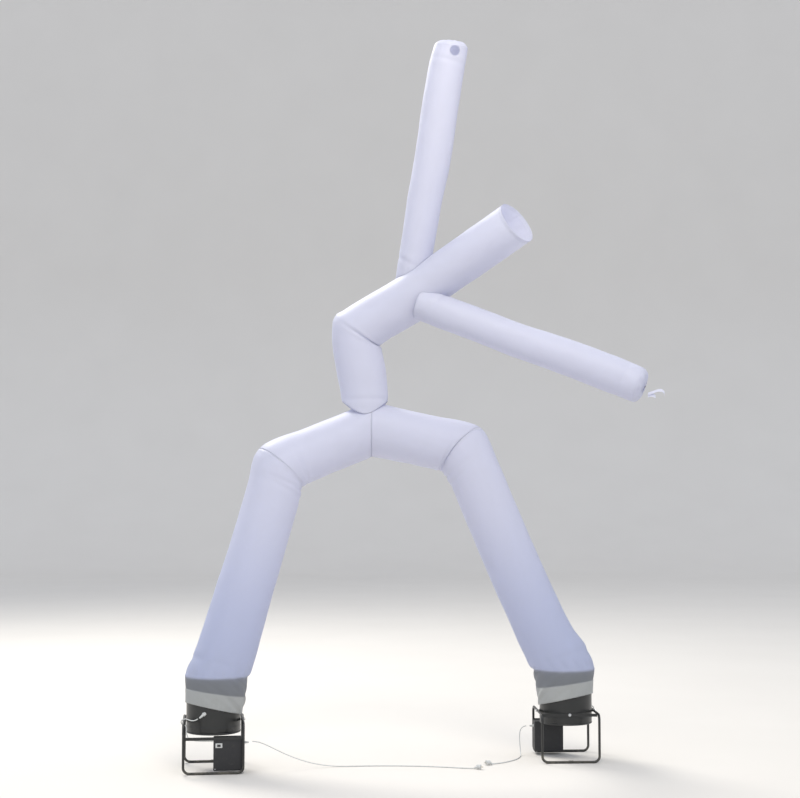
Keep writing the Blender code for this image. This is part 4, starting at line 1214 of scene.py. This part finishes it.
def build_stage():
    """A pale floor that curves up to a backdrop, soft light from high behind and from the front, and the
    camera."""
    settings = bpy.context.scene.dancer_stage
    camera_data = bpy.data.cameras.new("camera")
    camera_data.sensor_width = 36.0
    camera_data.lens = settings.lens
    camera = bpy.data.objects.new("camera", camera_data)
    camera.location = (SHIFT[0], SHIFT[1] - settings.distance, settings.eye_height)
    camera.rotation_euler = (math.pi / 2 + settings.pitch, 0.0, 0.0)
    bpy.context.scene.collection.objects.link(camera)
    bpy.context.scene.camera = camera

    material, start = new_material("pale_floor")
    place = start.node("ShaderNodeTexCoord", {}, {}, "Object")
    tone = place.noise(0.7, 4.0).mixed((0.72, 0.69, 0.65), (0.76, 0.73, 0.69))
    end_material(start, {"Base Color": tone, "Roughness": 0.85}, place.noise(40.0, 3.0), 0.001, 0.2)
    bend = np.linspace(0.0, math.pi / 2, 25)
    profile = [(-60.0, 0.0), *zip(26.0 + 9.0 * np.sin(bend), 9.0 - 9.0 * np.cos(bend)), (35.0, 45.0)]
    points = [(x, y, z) for y, z in profile for x in (-60.0, 60.0)]
    faces = [(k, k + 1, k + 3, k + 2) for k in range(0, len(points) - 2, 2)]
    mesh = bpy.data.meshes.new("floor")
    mesh.from_pydata(points, [], faces)
    mesh.shade_smooth()
    mesh.materials.append(material)
    floor = bpy.data.objects.new("floor", mesh)
    bpy.context.scene.collection.objects.link(floor)

    world = bpy.data.worlds.new("studio")
    world.use_nodes = True
    backdrop = world.node_tree.nodes["Background"]
    backdrop.inputs["Color"].default_value = (0.86, 0.91, 1.0, 1.0)
    backdrop.inputs["Strength"].default_value = settings.surround
    bpy.context.scene.world = world
    bpy.context.scene.view_settings.view_transform = "Standard"
    lights = (
        ("key", settings.key, (1.0, 0.97, 0.90), 5.0, (-6.0, 8.0, 12.0), 2.6),
        ("fill", settings.fill, (1.0, 0.94, 0.82), 3.0, (0.8, -4.8, 7.8), 4.6),
    )
    for name, power, colour, size, place, aim in lights:
        data = bpy.data.lights.new(name, "AREA")
        data.energy = power
        data.color = colour
        data.size = size
        light = bpy.data.objects.new(name, data)
        light.location = place
        light.rotation_euler = (Vector((0.0, 0.0, aim)) - Vector(place)).to_track_quat("-Z", "Y").to_euler()
        bpy.context.scene.collection.objects.link(light)


# ---------------------------------------------------------------- operators

def for_each_blower(build):
    for blower in BLOWERS:
        build(blower)


class DANCER_OT_stage(bpy.types.Operator):
    """Adds the floor, the lights and the camera"""
    bl_idname = "dancer.stage"
    bl_label = "Stage"

    def execute(self, context):
        build_stage()
        return {"FINISHED"}


class DANCER_OT_leads(bpy.types.Operator):
    """Lays the two mains leads with their plugs"""
    bl_idname = "dancer.leads"
    bl_label = "Mains leads"

    def execute(self, context):
        build_lead("left", LEAD_LEFT, 260)
        build_lead("right", LEAD_RIGHT, 170)
        return {"FINISHED"}


class DANCER_OT_legs(bpy.types.Operator):
    """Sews the legs, with the cuffs that go over the drums"""
    bl_idname = "dancer.legs"
    bl_label = "Legs"

    def execute(self, context):
        build_legs()
        return {"FINISHED"}


class DANCER_OT_thighs(bpy.types.Operator):
    """Sews the two thighs that meet under the body"""
    bl_idname = "dancer.thighs"
    bl_label = "Thighs"

    def execute(self, context):
        build_thighs()
        return {"FINISHED"}


class DANCER_OT_body(bpy.types.Operator):
    """Sews the body, bent at the chest and open at the head"""
    bl_idname = "dancer.body"
    bl_label = "Body"

    def execute(self, context):
        build_body()
        return {"FINISHED"}


class DANCER_OT_arms(bpy.types.Operator):
    """Sews the arms, their end panels and air outlets"""
    bl_idname = "dancer.arms"
    bl_label = "Arms"

    def execute(self, context):
        build_arms()
        return {"FINISHED"}


class DANCER_OT_streamers(bpy.types.Operator):
    """Hangs the ribbons at the end of the right arm"""
    bl_idname = "dancer.streamers"
    bl_label = "Streamers"

    def execute(self, context):
        build_streamers()
        return {"FINISHED"}


class DANCER_OT_drums(bpy.types.Operator):
    """Builds the fan drums with their guards"""
    bl_idname = "dancer.drums"
    bl_label = "Drums"

    def execute(self, context):
        for_each_blower(build_drum)
        for_each_blower(build_guard)
        return {"FINISHED"}


class DANCER_OT_frames(bpy.types.Operator):
    """Bends the frames and fits their straps and bolts"""
    bl_idname = "dancer.frames"
    bl_label = "Frames"

    def execute(self, context):
        for_each_blower(build_frame)
        for_each_blower(build_straps)
        for_each_blower(build_bolts)
        return {"FINISHED"}


class DANCER_OT_boxes(bpy.types.Operator):
    """Builds the control boxes with their switches"""
    bl_idname = "dancer.boxes"
    bl_label = "Control boxes"

    def execute(self, context):
        for_each_blower(build_box)
        return {"FINISHED"}


class DANCER_OT_cables(bpy.types.Operator):
    """Fits the glands, motor cables and strain reliefs"""
    bl_idname = "dancer.cables"
    bl_label = "Cables"

    def execute(self, context):
        for_each_blower(build_cables)
        return {"FINISHED"}


OPERATORS = (
    DANCER_OT_stage, DANCER_OT_leads, DANCER_OT_legs, DANCER_OT_thighs, DANCER_OT_body, DANCER_OT_arms,
    DANCER_OT_streamers, DANCER_OT_drums, DANCER_OT_frames, DANCER_OT_boxes, DANCER_OT_cables,
)


class DANCER_PT_panel(bpy.types.Panel):
    """The dancer's pieces and settings"""
    bl_label = "Air Dancer"
    bl_idname = "DANCER_PT_panel"
    bl_space_type = "VIEW_3D"
    bl_region_type = "UI"
    bl_category = "Air Dancer"

    def draw(self, context):
        for group in SETTINGS:
            settings = getattr(context.scene, group)
            box = self.layout.box()
            for name in settings.__annotations__:
                box.prop(settings, name)
        for operator in OPERATORS:
            self.layout.operator(operator.bl_idname)


CLASSES = (ClothSettings, BlowerSettings, StageSettings, *OPERATORS, DANCER_PT_panel)
SETTINGS = {"dancer_cloth": ClothSettings, "dancer_blowers": BlowerSettings, "dancer_stage": StageSettings}


def register():
    for made in CLASSES:
        bpy.utils.register_class(made)
    for name, group in SETTINGS.items():
        setattr(bpy.types.Scene, name, bpy.props.PointerProperty(type=group))


def unregister():
    for name in SETTINGS:
        delattr(bpy.types.Scene, name)
    for made in reversed(CLASSES):
        bpy.utils.unregister_class(made)


def main():
    register()
    for operator in OPERATORS:
        group, name = operator.bl_idname.split(".")
        getattr(getattr(bpy.ops, group), name)()


if __name__ == "__main__":
    main()
